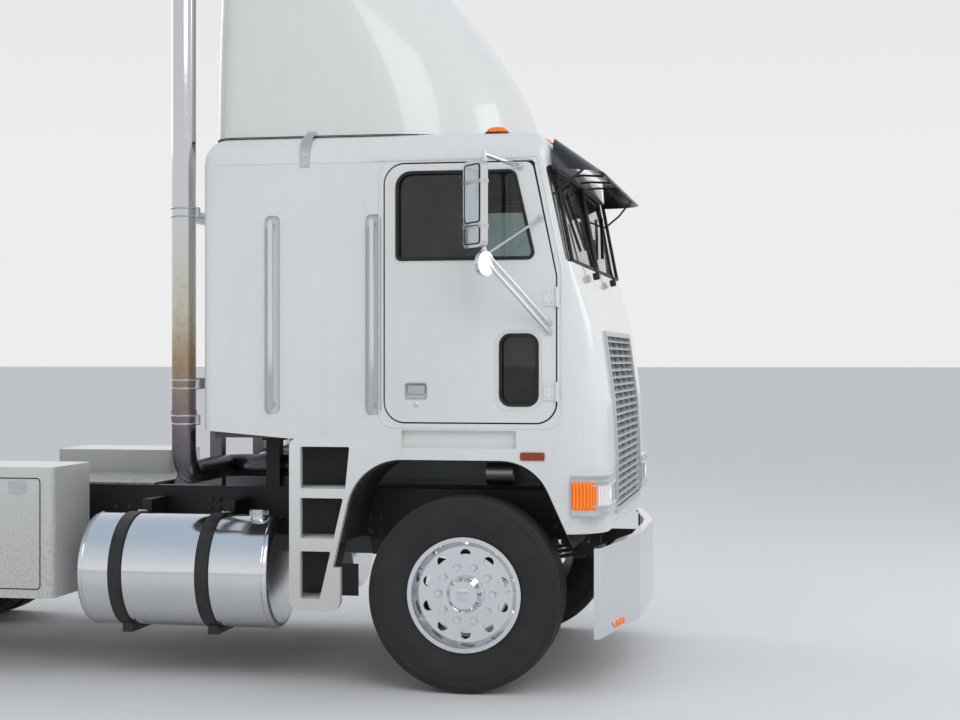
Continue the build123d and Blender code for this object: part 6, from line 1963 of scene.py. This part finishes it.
for x in PORTS:
    low = at(x - 0.045, -ENGINE_SIDE + 0.002, PORT_Z - 0.045)
    iron.box(low, at(x + 0.045, -ENGINE_SIDE - 0.014, PORT_Z + 0.045), 0.006)
    runner = (x, -ENGINE_SIDE - 0.010, PORT_Z), (x + 0.02, -0.285, PORT_Z), (x + 0.05, MANIFOLD_Y, PORT_Z)
    iron.tube(route(*runner), 0.030, 14)
    for dz in (-0.033, 0.033):
        engine_bolts.bolt(at(x, -ENGINE_SIDE - 0.014, PORT_Z + dz), (0, -1, 0), 0.008, 0.010)
iron.tube(route((PORTS[0] - 0.040, MANIFOLD_Y, PORT_Z), (0.090, MANIFOLD_Y, PORT_Z)), 0.042, 18)
iron.tube(route((-0.520, MANIFOLD_Y, 1.300), (-0.520, -0.345, 1.360), (-0.520, TURBO_Y, 1.430)), 0.036, 14)
iron.disc(at(-0.560, TURBO_Y, TURBO_Z), (1, 0, 0), 0.078, 0.075, 36, 0.012)
down_pipe = (-0.570, TURBO_Y, TURBO_Z), (-0.760, TURBO_Y, TURBO_Z), (-1.020, TURBO_Y, 1.400)
iron.tube(route(*down_pipe, (-1.160, -0.345, 1.330)), 0.048, 18)
TURBO_PARTS = [
    (-0.480, 0.044, 0.070, 24, 0.0), (-0.415, 0.086, 0.060, 36, 0.014), (-0.350, 0.050, 0.070, 28, 0.0)
]
for x, radius, length, sides, dome in TURBO_PARTS:
    alloy.disc(at(x, TURBO_Y, TURBO_Z), (1, 0, 0), radius, length, sides, dome)
alloy.disc(at(-0.020, -0.330, 1.092), (1, 0, 0), 0.074, 0.150, 32, 0.012)
alloy.box(at(-0.990, ENGINE_SIDE - 0.001, 1.240), at(0.060, 0.305, 1.335), 0.018)
alloy.disc(at(-0.080, 0.0, 1.556), (0, 0, 1), 0.042, 0.040, 28, 0.012)
alloy.disc(at(0.130, 0.090, 1.530), (0, 0, 1), 0.050, 0.060, 28)
alloy.disc(at(0.535, 0.280, 1.699), (0, 0, 1), 0.034, 0.016, 28, 0.006)
for x in (-0.300, -0.165):
    dressing.box(at(x - 0.050, ENGINE_SIDE - 0.001, 1.165), at(x + 0.050, 0.345, 1.195), 0.008)
    iron.disc(at(x, 0.297, 1.166), (0, 0, -1), 0.047, 0.130, 32, 0.014)
over_fan = (0.130, 0.090, 1.580), (0.130, 0.090, 1.640), (0.150, 0.095, 1.664), (0.190, 0.105, 1.675)
hoses.tube(route(*over_fan, (0.300, 0.150, 1.676), (0.500, 0.200, 1.672)), 0.024, 16)
intake = (0.040, 1.320), (0.060, 1.390), (0.030, 1.470), (-0.060, 1.500), (-0.500, 1.500), (-0.900, 1.470)
hoses.tube(route(*((x, 0.270, z) for x, z in intake)), 0.040, 16)
for x in (0.290, 0.306):
    belt = []
    # The belt runs half round a large pulley below and half round a small one above
    for radius, middle, first in ((0.114, 0.860, math.pi), (0.076, 1.340, 0.0)):
        for k in range(13):
            a = first + math.pi * k / 12
            belt.append(at(x, radius * math.cos(a), middle + radius * math.sin(a)))
    hoses.tube(belt, 0.0065, 6, closed=True)
piece("engine_dressing", dressing, engine_paint, "chassis")
piece("engine_iron", iron, hot_iron, "chassis")
piece("engine_alloy", alloy, brushed_alloy, "chassis")
piece("engine_hoses", hoses, seal_rubber, "chassis", 50)
piece("engine_bolts", engine_bolts, strap_metal, "chassis")
print("engine ports", len(PORTS), "bolts", engine_bolts.posts)

# %% [markdown]
# The sleeper's back wall is thin sheet, stiffened by pressed beads that run across it, with a row of rivets
# down each side where it meets the corner posts.

# %% Back wall
CAB_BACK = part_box("sleeper")[0].x
beads, back_rivets = Shape(), Shape()
for z in (1.520, 1.780, 2.040, 2.300, 2.560):
    run = [(-0.930, 0.010), (-0.900, 0.003), (0.900, 0.003), (0.930, 0.010)]
    beads.tube([Vector((CAB_BACK + deep, y, z)) for y, deep in run], 0.013, 10)
for sign in SIDES.values():
    for i in range(RIVET_ROWS):
        place = (CAB_BACK + 0.0005, sign * 1.075, RIVET_LOW + i * RIVET_PITCH)
        back_rivets.disc(place, (-1, 0, 0), *RIVET)
piece("back_beads", beads, cab_paint, "cab", 60)
piece("back_rivets", back_rivets, cab_paint, "cab", 60)
print("back wall at", round(CAB_BACK - AXLE_X, 3))

# %% [markdown]
# Light and floor. The light is plain: one large soft lamp over the camera's shoulder, a weaker one from the
# front and another from the rear, and an even world. The world shows pale behind the truck, to the camera and
# in the chrome alike, and lights it at a lower level, so that white paint stays below clipping. Polished
# metal needs something to mirror, so the backdrop turns a little bluer and deeper overhead.

# %% Studio
PALE = (0.84, 0.845, 0.85)
OVERHEAD = (0.50, 0.58, 0.68)
WORLD_LIGHT = 0.72
FLOOR_HALF = 400
LAMPS = [
    ("key_lamp", (7.5, -9.5, 8.5), (1.0, 0.0, 1.6), 7.0, 360),
    ("front_lamp", (11.0, 2.0, 5.0), (2.0, 0.0, 1.5), 5.0, 160),
    ("rear_lamp", (-8.0, 6.0, 7.0), (0.0, 0.0, 1.5), 6.0, 200),
]


def studio():
    world = bpy.data.worlds.new("studio")
    world.use_nodes = True
    tree = world.node_tree
    tree.nodes.clear()
    path = tree.nodes.new("ShaderNodeLightPath")
    seen = path.outputs["Is Camera Ray"]
    for ray in ("Is Transmission Ray", "Is Glossy Ray"):
        either = tree.nodes.new("ShaderNodeMath")
        either.operation = "MAXIMUM"
        tree.links.new(seen, either.inputs[0])
        tree.links.new(path.outputs[ray], either.inputs[1])
        seen = either.outputs[0]
    shown = tree.nodes.new("ShaderNodeBackground")
    turn = tree.nodes.new("ShaderNodeTexCoord")
    height = tree.nodes.new("ShaderNodeSeparateXYZ")
    tree.links.new(turn.outputs["Generated"], height.inputs[0])
    sky = tree.nodes.new("ShaderNodeValToRGB")
    for stop, position, colour in zip(sky.color_ramp.elements, (0.12, 0.85), (PALE, OVERHEAD)):
        stop.position = position
        stop.color = (*colour, 1)
    tree.links.new(height.outputs["Z"], sky.inputs[0])
    tree.links.new(sky.outputs[0], shown.inputs["Color"])
    lighting = tree.nodes.new("ShaderNodeBackground")
    lighting.inputs["Color"].default_value = (0.93, 0.96, 1.0, 1)
    lighting.inputs["Strength"].default_value = WORLD_LIGHT
    chosen = tree.nodes.new("ShaderNodeMixShader")
    tree.links.new(seen, chosen.inputs[0])
    tree.links.new(lighting.outputs[0], chosen.inputs[1])
    tree.links.new(shown.outputs[0], chosen.inputs[2])
    out = tree.nodes.new("ShaderNodeOutputWorld")
    tree.links.new(chosen.outputs[0], out.inputs["Surface"])
    bpy.context.scene.world = world
    for name, place, target, size, power in LAMPS:
        data = bpy.data.lights.new(name, "AREA")
        data.size = size
        data.energy = power
        lamp = bpy.data.objects.new(name, data)
        lamp.location = place
        lamp.rotation_euler = (Vector(target) - Vector(place)).to_track_quat("-Z", "Y").to_euler()
        bpy.context.scene.collection.objects.link(lamp)


def floor():
    f = Finish("studio_floor")
    mottle = f.noise(0.7, 4)
    grain = f.noise(60, 3)
    concrete = f.shaded({
        "Base Color": f.mix((0.74, 0.745, 0.75), (0.76, 0.765, 0.77), mottle),
        "Roughness": 0.75 + grain * 0.1,
    })
    corners = [(x * FLOOR_HALF, y * FLOOR_HALF, 0) for x, y in ((-1, -1), (1, -1), (1, 1), (-1, 1))]
    plane = bpy.data.meshes.new("floor")
    plane.from_pydata(corners, [], [(0, 1, 2, 3)])
    plane.materials.append(concrete)
    made = bpy.data.objects.new("floor", plane)
    bpy.context.scene.collection.objects.link(made)


studio()
floor()
bpy.context.scene.view_settings.view_transform = "Standard"
print("studio ready")
